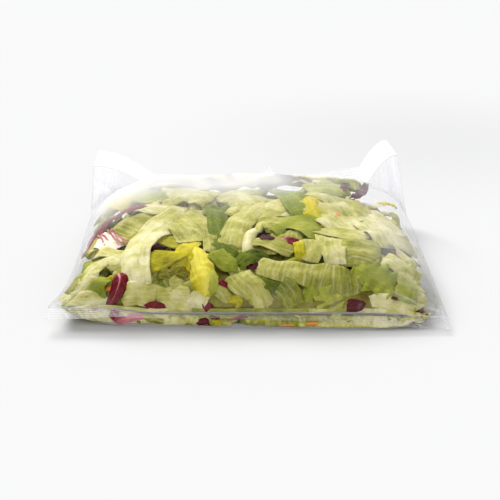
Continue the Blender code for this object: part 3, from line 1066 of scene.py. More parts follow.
def right_leaves() -> list[Leaf]:
    """The leaves that show on the bag's right third."""
    ice, green, yellow, red = Kind.ICEBERG, Kind.GREEN, Kind.YELLOW, Kind.RADICCHIO
    return [
        strip(yellow, ((0.345, 5.75, 1.3), (0.375, 5.2, 0.9), (0.40, 4.75, 1.6)), 22, tone=(0.35, 0.55), ruffle=1.4,
              cup=0.4),
        strip(ice, ((0.37, 5.6, 1.8), (0.47, 5.3, 1.2), (0.60, 4.9, 2)), 50, tone=(0.34, 0.14), ruffle=1.4,
              roll=(-4, 4)),
        Leaf(Kind.CARROT, ((0.475, 5.4, 0.5), (0.50, 5.25, 0.5), (0.53, 5.2, 0.6)), (4.5, 4), tone=(0.4, 0.6)),
        strip(green, ((0.34, 6.4, 1.8), (0.45, 6.5, 1.2), (0.55, 6.25, 2)), 32, tone=(0.1, 0.25)),
        strip(ice, ((0.53, 6.15, 1.8), (0.58, 5.65, 1.4), (0.635, 5.1, 2)), 28, tone=(0.5, 0.4)),
        strip(ice, ((0.33, 6.05, 3.0), (0.43, 6.0, 2.6), (0.53, 5.8, 3.0)), 26, tone=(0.4, 0.3)),
        strip(ice, ((0.62, 5.6, 2.4), (0.73, 5.35, 2.0), (0.84, 5.0, 2.2)), 34, tone=(0.1, 0.2)),
        Leaf(red, ((0.55, 6.4, 1.5), (0.57, 6.6, 0.8), (0.585, 6.8, 1)), (7, 5), Cut.OVAL, tone=(0.7, 0.75)),
        Leaf(red, ((0.60, 6.1, 1.2), (0.65, 6.3, 0.8), (0.70, 6.9, 0.7), (0.745, 8.1, 0.6)), (11, 9), Cut.BLADE,
             tone=(0.75, 0.95), tuck=0.2, midrib=0.1, ruffle=1.2),
        Leaf(yellow, ((0.73, 5.9, 1), (0.81, 6.3, 0.8), (0.90, 6.7, 0.8)), (6, 4), Cut.FRILL, tone=(0.3, 0.4)),
        strip(ice, ((0.68, 5.3, 2), (0.76, 4.9, 1.2), (0.83, 4.45, 1.5)), 42, tone=(0.1, 0.2), ruffle=1.4),
        strip(ice, ((0.36, 4.75, 2.8), (0.50, 4.6, 2.4), (0.64, 4.45, 2.8)), 22, tone=(0.4, 0.3)),
        # a folded piece, and the veined one that it lies on
        Leaf(ice, ((0.44, 4.38, 1.0), (0.44, 3.9, 0.8), (0.45, 3.35, 1.5)), (26, 16), tone=(0.36, 0.2),
             roll=(10, 0)),
        strip(ice, ((0.325, 4.25, 1.5), (0.335, 3.9, 1.2), (0.30, 3.5, 2)), 18, tone=(0.4, 0.36), roll=(-8, -8)),
        strip(ice, ((0.46, 3.9, 3), (0.58, 3.95, 2), (0.70, 3.85, 2)), 38, tone=(0.66, 0.6), midrib=0.8),
        # the long ribbed strip across the front, greener at its pointed end
        Leaf(ice, ((0.03, 3.35, 1.0), (0.18, 3.1, 0.7), (0.33, 2.9, 0.7), (0.47, 2.68, 0.7), (0.63, 2.72, 1.2)),
             (15, 34), Cut.SPEAR, tone=(0.26, 0.85), cup=0.3, cross_ribbed=True, tuck=1.5),
        Leaf(green, ((0.55, 3.35, 1.8), (0.66, 3.0, 1.2), (0.78, 2.45, 1.8)), (32, 26), Cut.FRILL,
             tone=(0.35, 0.3), ruffle=1.6),
        strip(ice, ((0.71, 3.8, 1.5), (0.78, 3.6, 1), (0.85, 3.25, 1.5)), 17, tone=(0.15, 0.2)),
        Leaf(green, ((0.87, 3.95, 0.8), (0.835, 3.2, 1.0), (0.80, 2.4, 1.2), (0.78, 1.6, 1.6)), (14, 18),
             Cut.FRILL, tone=(0.1, 0.3), ruffle=1.4),
        Leaf(green, ((0.33, 2.35, 1.4), (0.31, 1.8, 1.2), (0.28, 1.12, 1.6)), (11, 10), Cut.FRILL,
             tone=(0.25, 0.4), ruffle=1.4),
        Leaf(green, ((0.36, 2.35, 1.5), (0.40, 1.6, 1.0), (0.43, 0.85, 1.2)), (15, 20), Cut.FRILL,
             tone=(0.12, 0.0), ruffle=1.8, tuck=1.0),
        Leaf(red, ((0.48, 1.25, 1.2), (0.54, 1.3, 1.0), (0.60, 1.25, 1.5)), (11, 12), Cut.OVAL, tone=(0.75, 0.85)),
        Leaf(red, ((0.72, 1.95, 0.9), (0.74, 1.9, 0.8), (0.765, 1.9, 1)), (4, 4), Cut.OVAL, tone=(0.75, 0.75)),
        strip(ice, ((0.60, 1.3, 1.6), (0.71, 1.45, 1.2), (0.83, 1.1, 1.2)), 20, tone=(0.12, 0.15), ruffle=1.4),
    ]


def underside_leaves() -> list[Leaf]:
    """The leaves that show through and below the front seal, against the bottom film."""
    ice, yellow, red, low = Kind.ICEBERG, Kind.YELLOW, Kind.RADICCHIO, Side.BOTTOM

    def hang(kind: Kind, left: float, right: float, depth: float, tone: float, end: float = 3.8) -> Leaf:
        """A piece that hangs from the seal's inner line down to the station `end`, a little aslant."""
        middle = (left + right) / 2
        slant = 0.03 * math.sin(40 * left)
        spine = ((middle - slant, 0.75, depth), (middle, 0.5 + end / 2, depth), (middle + slant, end, depth + 0.5))
        return strip(kind, spine, 140 * (right - left), tone=(tone, tone + 0.06), tuck=0.3, crumple=0.3, side=low)

    return [
        hang(ice, -0.89, -0.76, 0.9, 0.02),
        hang(ice, -0.79, -0.64, 1.6, 0.0),
        Leaf(red, ((-0.685, 2.5, 0.5), (-0.63, 1.8, 0.4), (-0.47, 1.08, 0.4)), (7, 5), Cut.OVAL, tone=(0.33, 0.26), side=low),
        strip(red, ((-0.69, 1.03, 0.4), (-0.67, 1.4, 0.4), (-0.65, 1.7, 0.6)), 8, tone=(0.42, 0.3), side=low),
        hang(ice, -0.67, -0.46, 1.8, 0.1),
        hang(ice, -0.52, -0.34, 1.5, 0.15),
        hang(ice, -0.40, -0.22, 1.2, 0.05),
        Leaf(red, ((-0.20, 1.1, 0.8), (-0.16, 1.35, 0.8), (-0.12, 1.2, 0.9)), (4, 3), Cut.BLADE, tone=(0.7, 0.9), side=low),
        Leaf(red, ((-0.10, 1.5, 0.7), (-0.04, 1.3, 0.7), (0.03, 1.15, 0.8)), (3, 3), Cut.BLADE, tone=(0.3, 0.6), side=low),
        # painted shade: the pieces round the middle get darker tones, for the brownish shade under the seal there
        hang(ice, -0.05, 0.10, 2.2, 0.75, 2.6),
        hang(ice, 0.08, 0.22, 0.9, 0.6),
        hang(ice, 0.20, 0.33, 1.2, 0.4),
        hang(ice, 0.31, 0.42, 1.0, 0.2),
        strip(Kind.CARROT, ((0.14, 2.3, 0.6), (0.19, 2.2, 0.5), (0.25, 2.3, 0.6)), 2, side=low),
        strip(Kind.CARROT, ((0.27, 1.9, 0.6), (0.32, 1.8, 0.5), (0.37, 1.9, 0.6)), 2, side=low),
        hang(ice, 0.40, 0.53, 0.8, 0.15),
        hang(ice, 0.51, 0.64, 0.9, 0.2),
        hang(ice, 0.62, 0.74, 0.7, 0.05),
        hang(ice, 0.72, 0.85, 0.8, 0.1),
    ]


def seam_leaves() -> list[Leaf]:
    """The leaves pressed into the fold just above and just below the front seal."""
    pieces = 15
    left, right = -0.87, 0.85
    pale, seam_shade_tone = 0.12, 0.55
    random = np.random.default_rng(3)
    step = (right - left) / pieces
    leaves = []
    for number in range(pieces):
        start = left + number * step
        end = start + 1.25 * step
        # painted shade: the middle of the seam is given a darker tone than its ends
        tone = seam_shade_tone + (pale - seam_shade_tone) * abs(start + end) / 2 + random.uniform(-0.25, 0.25)
        for side, reach in ((Side.TOP, random.uniform(0.9, 1.06)), (Side.BOTTOM, random.uniform(0.95, 1.15))):
            spine = ((start, reach, 1.6), ((start + end) / 2, reach, 1.4), (end, reach, 1.6))
            leaves.append(strip(Kind.ICEBERG, spine, 6, tone=(tone, tone), tuck=0.0, ruffle=0.2, crumple=0.2,
                                cup=0.0, midrib=0.0, side=side))
    return leaves


@dataclass(frozen=True)
class Layer:
    """A layer of random leaves: how many, where, how deep in mm, and how large in mm.

    A layer that isn't mixed has only iceberg in it.
    """

    side: Side
    count: int
    across: tuple[float, float]
    along: tuple[float, float]
    depth: tuple[float, float]
    length: tuple[float, float] = (22.0, 44.0)
    width: tuple[float, float] = (11.0, 24.0)
    tone: tuple[float, float] = (0.15, 0.7)
    mixed: bool = True


@dataclass
class SaladHeap:
    """Every leaf that can be seen through the film."""

    maker: LeafMaker
    seed: int = 7
    filler_rows: int = 11
    filler_columns: int = 7
    layers: tuple[Layer, ...] = (
        Layer(Side.TOP, 70, (-0.80, 0.76), (2.2, 6.6), (4.0, 7.0), tone=(0.3, 0.8)),
        Layer(Side.TOP, 52, (-0.80, 0.74), (1.9, 6.9), (8.0, 15.0), (26, 44), (14, 26), (0.4, 0.95)),
        Layer(Side.TOP, 30, (-0.72, 0.64), (5.8, 6.9), (4.0, 8.0), (16, 32), (10, 20), (0.1, 0.5), mixed=False),
        Layer(Side.TOP, 30, (-0.88, 0.84), (1.1, 2.4), (3.0, 6.0), (16, 30), (9, 18), (0.4, 0.8)),
        Layer(Side.BOTTOM, 24, (-0.88, 0.82), (1.15, 2.8), (2.0, 4.0), (16, 30), (9, 18), (0.3, 0.8)),
        Layer(Side.TOP, 12, (-0.92, -0.84), (1.6, 6.0), (1.5, 3.0), (16, 28), (9, 16), mixed=False),
        Layer(Side.TOP, 10, (-0.86, -0.72), (6.4, 7.8), (2.0, 5.0), (20, 36), (12, 22), (0.0, 0.3)),
        Layer(Side.TOP, 26, (-0.93, -0.85), (2.0, 7.8), (5.0, 12.0), (18, 28), (12, 20), (0.1, 0.6)),
        Layer(Side.TOP, 20, (0.85, 0.92), (2.0, 5.6), (5.0, 12.0), (18, 34), (12, 20), (0.1, 0.6)),
        Layer(Side.TOP, 14, (0.78, 0.87), (5.6, 7.6), (14.0, 26.0), (18, 26), (12, 18), (0.1, 0.6)),
        Layer(Side.BOTTOM, 22, (-0.90, -0.80), (1.8, 8.8), (0.8, 2.0), (20, 36), (12, 22), (0.1, 0.6)),
        Layer(Side.BOTTOM, 22, (0.76, 0.86), (1.8, 8.8), (0.8, 2.0), (20, 36), (12, 22), (0.1, 0.6)),
        Layer(Side.TOP, 12, (0.82, 0.88), (1.6, 6.0), (1.5, 3.0), (16, 28), (9, 16), mixed=False),
        Layer(Side.BOTTOM, 64, (-0.88, 0.86), (1.5, 8.6), (1.0, 4.0)),
        Layer(Side.TOP, 54, (-0.72, 0.62), (7.3, 9.3), (1.5, 5.0), tone=(0.1, 0.6)),
        Layer(Side.BOTTOM, 40, (-0.80, 0.76), (8.3, 9.7), (1.0, 4.0), tone=(0.1, 0.6)),
    )
    shares: dict[Kind, float] = field(
        default_factory=lambda: {
            Kind.ICEBERG: 0.64,
            Kind.GREEN: 0.16,
            Kind.YELLOW: 0.09,
            Kind.RADICCHIO: 0.09,
            Kind.CARROT: 0.02,
        }
    )

    def scattered(self, layer: Layer, random: np.random.Generator) -> list[Leaf]:
        """The layer's leaves: each spine is three knots on a slightly bent line at a random heading.

        Args:
            layer: what to fill.
            random: where the numbers are drawn from.

        Returns:
            The leaves.
        """
        sheet = self.maker.sheets[layer.side]
        kinds = list(self.shares)
        leaves = []
        for _ in range(layer.count):
            kind = kinds[random.choice(len(kinds), p=list(self.shares.values()))] if layer.mixed else Kind.ICEBERG
            slim = 0.2 if kind is Kind.CARROT else 1.0
            length = random.uniform(*layer.length) * MM
            width = random.uniform(*layer.width) * slim
            heading = random.uniform(0.0, 2 * np.pi)
            bend = random.uniform(-0.5, 0.5)
            across = random.uniform(*layer.across)
            station = random.uniform(*layer.along)
            if layer.side is Side.TOP and station < 7.0:
                # the far film's kink leaves little room behind it
                station = min(station, 6.9 - 1.6 * math.exp(-(((across - 0.2) / 0.12) ** 2)))
            reach = sheet.reach_at(station)
            depth = random.uniform(*layer.depth)
            knots = []
            for step in (-1.0, 0.0, 1.0):
                way = heading + 0.5 * bend * step
                x = across * sheet.half_width + 0.5 * length * step * math.cos(way)
                along = float(sheet.along_at(reach + 0.5 * length * step * math.sin(way)))
                limit = 0.94 - 0.30 * float(smooth_step(6.5, 9.0, along))
                place = float(np.clip(x / sheet.half_width, -limit, limit))
                knots.append((place, along, depth + random.uniform(-0.5, 2.0) * abs(step)))
            low = random.uniform(*layer.tone)
            if kind is Kind.RADICCHIO:
                low = random.uniform(0.3, 0.9)
            cut = (Cut.STRIP, Cut.STRIP, Cut.OVAL, Cut.FRILL)[random.integers(4)]
            leaves.append(
                Leaf(
                    kind,
                    tuple(knots),
                    (width, width * random.uniform(0.7, 1.2)),
                    cut,
                    roll=(random.uniform(-25, 25), random.uniform(-25, 25)),
                    cup=random.uniform(-0.2, 0.6),
                    curl=(random.uniform(-30, 60), random.uniform(-30, 60)),
                    crumple=random.uniform(0.6, 1.6),
                    ruffle=random.uniform(0.5, 1.6),
                    tone=(low, low + random.uniform(-0.15, 0.15)),
                    side=layer.side,
                    midrib=random.uniform(0.1, 0.7),
                    cross_ribbed=bool(random.integers(2)),
                )
            )
        return leaves

    def build(self, materials: dict[Kind, bpy.types.Material]) -> None:
        """Makes one piece for each kind of leaf."""
        random = np.random.default_rng(self.seed)
        placed = left_leaves() + middle_leaves() + right_leaves() + underside_leaves()
        under = seam_leaves() + [leaf for layer in self.layers for leaf in self.scattered(layer, random)]
        filler_maker = LeafMaker(self.maker.sheets, self.filler_rows, self.filler_columns)
        for kind in Kind:
            points, quads, uv, tone = [], [], [], []
            count = 0
            for maker, leaves in ((self.maker, placed), (filler_maker, under)):
                faces = shell_quads(maker.rows, maker.columns)
                for number, leaf in enumerate(leaves):
                    if leaf.kind is not kind:
                        continue
                    shell = maker.shell(leaf, 100 * self.seed + number)
                    points.append(shell.points)
                    uv.append(shell.uv)
                    tone.append(shell.tone)
                    quads.append(faces + count)
                    count += len(shell.points)
            add_piece(
                kind.value,
                np.concatenate(points),
                np.concatenate(quads),
                materials[kind],
                np.concatenate(uv),
                {"tone": np.concatenate(tone)},
            )


@dataclass(frozen=True)
class Core:
    """The heap's middle, which shows only through gaps: one lump with leafy relief, coloured dark as painted shade."""

    sheets: dict[Side, Sheet]
    rows: int = 120
    columns: int = 150
    across_end: float = 0.78
    along_ends: tuple[float, float] = (2.8, 7.6)
    share_of_room: float = 0.36
    relief: float = 0.10
    seed: int = 5

    def build(self, material: bpy.types.Material) -> bpy.types.Object:
        """Each point is the middle of the room plus a share of the way to a film, and the share fades at the rim."""
        random = np.random.default_rng(self.seed)
        a, b = np.meshgrid(np.linspace(-1, 1, self.columns), np.linspace(-1, 1, self.rows))
        low, high = self.along_ends
        across = self.across_end * a * (1 - 0.25 * smooth_step(0.2, 1.0, b))
        along = low + (high - low) * (b + 1) / 2
        top = self.sheets[Side.TOP].look_up(across, along)[0]
        bottom = self.sheets[Side.BOTTOM].look_up(across, along)[0]
        middle = (top + bottom) / 2
        fade = (1 - a**8) ** 0.5 * (1 - b**8) ** 0.5
        folds = np.zeros_like(a)
        for _ in range(9):
            heading = random.uniform(0, np.pi)
            pitch = random.uniform(8, 22)
            lead = a * math.cos(heading) + 0.9 * b * math.sin(heading)
            folds += np.abs(np.sin(pitch * lead + random.uniform(0, 6) + 0.8 * np.sin(3 * a + 4 * b)))
        share = (self.share_of_room + self.relief * (folds / 4.5 - 1)) * np.maximum(fade, 0.02)
        upper = middle + (top - middle) * share[..., None]
        lower = middle + (bottom - middle) * share[..., None] * 1.25
        points = np.concatenate([upper.reshape(-1, 3), lower.reshape(-1, 3)])
        # painted shade: the core's tone is darker where its relief sinks and lighter where it rises
        tone = np.tile(np.clip(folds / 9, 0, 1).ravel(), 2)
        return add_piece(
            "inner_leaves",
            points,
            shell_quads(self.rows, self.columns),
            material,
            points[:, :2],
            {"tone": tone},
        )


# painted shade: the core's colours are dark, to stand for the shade deep in the gaps between the leaves
SHADE_CORE_FINISH = LeafFinish(
    "inner_leaves",
    (
        (0.00, paint(86, 62, 34)),
        (0.35, paint(108, 96, 26)),
        (0.70, paint(132, 126, 44)),
        (1.00, paint(158, 156, 76)),
    ),
    vein=paint(128, 122, 70),
    mottle_share=1.2,
    glow=0.10,
)


@dataclass(frozen=True)
class FilmFinish:
    """Clear film that mirrors the room at a glancing angle, and is hazy white where it is creased.

    The `veil` is haze from every side; at the glints and creases it is also painted highlight. The glancing haze is
    painted sheen: white haze that shows mostly at a glancing angle, in place of the film's glancing reflections.
    """

    name: str
    clearness: Colour = (0.985, 0.985, 0.985, 1.0)
    white: Colour = (0.97, 0.97, 0.98, 1.0)
    hazy: Colour = (0.78, 0.78, 0.82, 1.0)
    roughness: float = 0.14
    ior: float = 1.5
    head_on: float = 0.04
    sheets_of_gloss: float = 0.25
    haze_through: float = 0.4
    most_haze: float = 0.9
    sheen_head_on: float = 0.2
    ripple_scale: float = 90.0
    ripple_height: float = 0.0004

    def material(self) -> bpy.types.Material:
        """The finish as a material: see-through, with mirror gloss by Fresnel and white haze by the veil."""
        material = bpy.data.materials.new(self.name)
        material.use_nodes = True
        graph = Graph(material.node_tree)
        room = graph.add("ShaderNodeTexCoord").outputs["Object"]
        ripple = graph.add("ShaderNodeTexNoise", {"Vector": room, "Scale": self.ripple_scale, "Detail": 2.0}).outputs[0]
        normal = graph.add(
            "ShaderNodeBump", {"Height": ripple, "Strength": 1.0, "Distance": self.ripple_height}
        ).outputs[0]
        fresnel = graph.add("ShaderNodeFresnel", {"IOR": self.ior, "Normal": normal}).outputs[0]
        veil = graph.add("ShaderNodeAttribute", attribute_name="veil").outputs["Fac"]
        # painted sheen: haze weighted towards glancing angles, in place of the film's glancing reflections
        glancing_sheen = graph.add("ShaderNodeAttribute", attribute_name="glancing_sheen").outputs["Fac"]
        slantwise = graph.add("ShaderNodeLayerWeight", {"Blend": 0.5}).outputs["Facing"]
        slantwise = graph.add(
            "ShaderNodeMapRange", {"Value": slantwise, "From Max": 0.55, "To Min": self.sheen_head_on}
        ).outputs[0]
        veil = graph.sum_of("ADD", veil, graph.sum_of("MULTIPLY", glancing_sheen, slantwise))
        veil = graph.sum_of("MINIMUM", veil, self.most_haze)
        shine = graph.add("ShaderNodeAttribute", attribute_name="shine").outputs["Fac"]
        glancing = graph.sum_of("MULTIPLY", graph.sum_of("SUBTRACT*", fresnel, self.head_on), self.sheets_of_gloss)
        clear = graph.add("ShaderNodeBsdfTransparent", {0: self.clearness}).outputs[0]
        mirror = {"Base Color": self.white, "Roughness": self.roughness, "Metallic": 1.0, "Normal": normal}
        gloss = graph.add("ShaderNodeBsdfPrincipled", mirror).outputs[0]
        film = graph.add(
            "ShaderNodeMixShader", {0: graph.sum_of("MULTIPLY", glancing, shine), 1: clear, 2: gloss}
        ).outputs[0]
        skin = graph.add("ShaderNodeBsdfPrincipled", {"Base Color": self.hazy, "Roughness": 0.35}).outputs[0]
        through = graph.add("ShaderNodeBsdfTranslucent", {"Color": self.hazy}).outputs[0]
        haze = graph.add("ShaderNodeMixShader", {0: self.haze_through, 1: skin, 2: through}).outputs[0]
        mixed = graph.add("ShaderNodeMixShader", {0: veil, 1: film, 2: haze}).outputs[0]
        graph.add("ShaderNodeOutputMaterial", {0: mixed})
        return material


@dataclass(frozen=True)
class Crease:
    """A ridge in the film from one (across, along) place to another, with its height and width in mm."""

    start: tuple[float, float]
    end: tuple[float, float]
    height: float = 0.6
    width: float = 2.0

    def profile(self, x: np.ndarray, reach: np.ndarray, sheet: Sheet) -> np.ndarray:
        """A bell across the line between the ends, which fades towards both ends."""
        start = np.array([self.start[0] * sheet.half_width, float(sheet.reach_at(self.start[1]))])
        end = np.array([self.end[0] * sheet.half_width, float(sheet.reach_at(self.end[1]))])
        way = end - start
        length = float(np.linalg.norm(way))
        way /= length
        ahead = ((x - start[0]) * way[0] + (reach - start[1]) * way[1]) / length
        aside = (x - start[0]) * way[1] - (reach - start[1]) * way[0]
        taper = np.sqrt(np.clip(4 * ahead * (1 - ahead), 0.0, 1.0))
        return taper * hump(aside, 0.0, self.width * MM)


@dataclass
class FilmBag:
    """The film: a pillow of one closed skin, and the two crimped seals at its ends."""

    form: BagForm
    shift: np.ndarray
    sheet: Sheet
    columns: int = 220
    body_rows: int = 190
    crimp_ribs: int = 5
    rows_per_rib: int = 10
    crimp_depth: float = 0.18 * MM
    front_crimp_depth: float = 0.02 * MM
    seal_half: float = 0.10 * MM
    seed: int = 23

    def creases(self) -> list[Crease]:
        """Creases that fan out of the corners, and short random ones beside the seals and the side folds."""
        random = np.random.default_rng(self.seed)
        made = []
        for corner, along, turn in ((-0.97, 1.1, 1.0), (0.97, 1.1, 1.0), (-0.97, 9.6, -1.0), (0.97, 9.6, -1.0)):
            for _ in range(7):
                inward = random.uniform(0.08, 0.30)
                ahead = random.uniform(0.4, 3.0)
                end = (corner - math.copysign(inward, corner), along + turn * ahead)
                made.append(Crease((corner, along), end, random.uniform(0.3, 0.8), random.uniform(1.0, 2.4)))
        for _ in range(46):
            across = random.uniform(-0.9, 0.9)
            length = random.uniform(0.3, 1.3)
            lean = random.uniform(-0.05, 0.05)
            front = (Crease((across, 1.02), (across + lean, 1.02 + length), random.uniform(0.15, 0.5), 1.2))
            made.append(front)
        for _ in range(40):
            across = random.uniform(-0.9, 0.9)
            length = random.uniform(0.4, 2.0)
            lean = random.uniform(-0.05, 0.05)
            made.append(Crease((across, 9.95), (across + lean, 9.95 - length), random.uniform(0.2, 0.6), 1.4))
        for _ in range(26):
            side = random.choice([-1.0, 1.0])
            along = random.uniform(2.0, 8.5)
            start = (side * random.uniform(0.93, 0.985), along)
            end = (side * random.uniform(0.72, 0.9), along + random.uniform(-0.8, 0.8))
            made.append(Crease(start, end, random.uniform(0.2, 0.6), random.uniform(1.0, 2.0)))
        for _ in range(22):
            across = random.uniform(-0.8, 0.8)
            along = random.uniform(2.5, 8.5)
            end = (across + random.uniform(-0.3, 0.3), along + random.uniform(-1.0, 1.0))
            made.append(Crease((across, along), end, random.uniform(0.15, 0.4), random.uniform(1.5, 3.0)))
        return made

    @staticmethod
    def glints() -> list[tuple[Crease, float]]:
        """Painted highlights: places where the film's haze is painted white as if it caught the light, with how white
        each one is.
        """
        return [
            (Crease((0.64, 5.85), (0.82, 5.95), width=6.0), 0.75),
            (Crease((0.27, 5.95), (0.64, 5.85), width=1.1), 0.25),
            (Crease((0.86, 5.9), (0.93, 3.6), width=1.3), 0.5),
            (Crease((-0.88, 5.6), (-0.96, 2.6), width=1.4), 0.35),
            (Crease((-0.75, 6.6), (-0.30, 6.9), width=5.0), 0.35),
            (Crease((0.72, 2.4), (0.97, 1.3), width=1.2), 0.4),
            (Crease((0.972, 7.2), (0.972, 10.4), width=1.0), 0.9),
            (Crease((-0.97, 1.5), (-0.80, 2.9), width=1.2), 0.3),
        ]

    def ears(self, across: np.ndarray, along: np.ndarray) -> np.ndarray:
        """1 in the two empty corners at the far end, where both films lie together, and 0 elsewhere."""
        return smooth_step(0.78, 0.92, np.abs(across)) * smooth_step(7.2, 9.0, along)

    def pillow(self, finish: bpy.types.Material) -> bpy.types.Object:
        """The body of the bag, with its creases."""
        form = self.form
        columns = np.linspace(-1.0, 1.0, self.columns)
        rows = np.linspace(form.front_inner, form.far_inner, self.body_rows)
        across, along = np.meshgrid(columns, rows)
        upper, lower, _ = form.film(across, along)
        x = across * self.sheet.half_width
        reach = self.sheet.reach_at(along)
        height = np.zeros_like(across)
        veil = np.zeros_like(across)
        # the creases raise the film and whiten its veil a little: the film's own whitening at a crease, and also
        # painted highlight along each ridge
        for crease in self.creases():
            profile = crease.profile(x, reach, self.sheet)
            height += crease.height * MM * profile
            veil += 0.12 * crease.height * profile
        # painted highlights: the glints whiten the veil
        for glint, strength in self.glints():
            veil += strength * glint.profile(x, reach, self.sheet)
        pleats = self.ears(across, along) * np.sin(95 * across + 2.0 * np.sin(along))
        height += 0.5 * MM * pleats
        edge = smooth_step(1.0, 1.25, along) * smooth_step(10.0, 9.75, along)
        edge *= smooth_step(1.0, 0.975, np.abs(across))
        height *= edge
        upper = upper - self.shift + grid_normals(upper) * height[..., None]
        lower = lower - self.shift
        veil += 0.45 * self.ears(across, along) * (0.8 + 0.2 * pleats)
        # painted shade: a faint haze along the side folds, so that their outlines show as soft grey lines
        veil += 0.06 * smooth_step(0.9, 0.98, np.abs(across))
        # painted sheen: the far end gets white haze that shows at a glancing angle, in place of glancing reflections:
        # most along the top edge, less to the right, and little at the back
        glancing_sheen = smooth_step(5.6, 7.0, along) * (1 - 0.75 * smooth_step(0.15, 0.35, across))
        glancing_sheen *= (0.70 - 0.5 * smooth_step(7.9, 8.9, along)) * (1 - smooth_step(0.8, 0.95, np.abs(across)))
        # more of the same painted sheen on the left side of the far half, and a little over the rest of it
        left = smooth_step(-0.40, -0.80, across) * (1 - 0.7 * smooth_step(-0.84, -0.95, across))
        glancing_sheen += 0.37 * left * smooth_step(4.6, 6.2, along) * smooth_step(8.9, 7.9, along)
        glancing_sheen += 0.15 * smooth_step(4.8, 6.0, along) * smooth_step(8.9, 7.9, along) * smooth_step(0.6, 0.5, across)
        # a white haze line along the front seal's inner line: the seal's own whitening, and also painted light over the
        # shaded gap between the leaves there; the left end by the seal is hazed too
        veil += 0.5 * hump(along, 1.0, 0.03) + 0.15 * smooth_step(-0.62, -0.85, across) * smooth_step(2.2, 1.2, along)
        veil += 0.30 * smooth_step(0.50, 0.80, across) * hump(along, 4.6, 1.4)
        points = np.concatenate([upper.reshape(-1, 3), lower.reshape(-1, 3)])
        uv = np.stack([x, reach], axis=-1).reshape(-1, 2)
        veil = np.clip(veil, 0.0, 0.9)
        glancing_sheens = np.concatenate([glancing_sheen.ravel(), 0.3 * glancing_sheen.ravel()])
        veils = np.concatenate([veil.ravel(), 0.3 * veil.ravel()])
        quads = shell_quads(self.body_rows, self.columns)
        looks = {"veil": veils, "glancing_sheen": glancing_sheens, "shine": np.ones_like(veils)}
        return add_piece("film", points, quads, finish, np.tile(uv, (2, 1)), looks)

    def seal(self, name: str, first: float, finish: bpy.types.Material) -> bpy.types.Object:
        """One seal: both films as one thin band, with ribs that run along it.

        Args:
            name: the piece's name.
            first: the station at the band's start, which ends one station on.
            finish: the film's material.

        Returns:
            The piece.
        """
        random = np.random.default_rng(self.seed + int(first))
        columns = np.linspace(-1.0, 1.0, self.columns)
        rows = first + np.linspace(0.0, 1.0, self.crimp_ribs * self.rows_per_rib + 1)
        across, along = np.meshgrid(columns, rows)
        upper, lower, facing = self.form.film(across, along)
        middle = (upper + lower) / 2 - self.shift
        ribs = np.sin(2 * np.pi * self.crimp_ribs * (along - first))
        strength = 0.75 + 0.25 * LeafMaker.waves(14 * across, random, 6)
        rise = (self.crimp_depth if first else self.front_crimp_depth) * ribs * strength
        front = middle + facing * (rise + self.seal_half)[..., None]
        back = middle + facing * (rise - self.seal_half)[..., None]
        streaks = LeafMaker.waves(60 * across + 3 * along, random, 7) * LeafMaker.waves(
            9 * across, random, 4
        )
        ear = smooth_step(0.72, 0.95, np.abs(across)) if first else 0.0 * across
        ear = ear * np.where(across < 0, 0.5, 1.0)
        creased = smooth_step(-0.30, -0.80, across) + 0.2 * smooth_step(0.3, 0.8, across)
        lines = np.clip(ribs, 0, 1) ** 3 * (0.16 + 0.5 * np.clip(streaks, 0, 1)) * (0.4 + 1.2 * creased)
        veil = (0.08 + 0.12 * creased + lines + 0.3 * np.clip(streaks, 0, 1) ** 2) * (1 - ear) + 0.6 * ear
        points = np.concatenate([front.reshape(-1, 3), back.reshape(-1, 3)])
        uv = np.stack([across, along], axis=-1).reshape(-1, 2)
        quads = shell_quads(len(rows), self.columns)
        front_shine = 0.1
        veils = np.concatenate([veil.ravel(), 0.2 * veil.ravel()])
        shine = np.concatenate([np.full(veil.size, front_shine), np.zeros(veil.size)])
        looks = {"veil": veils, "glancing_sheen": np.zeros_like(veils), "shine": shine}
        return add_piece(name, points, quads, finish, np.tile(uv, (2, 1)), looks)


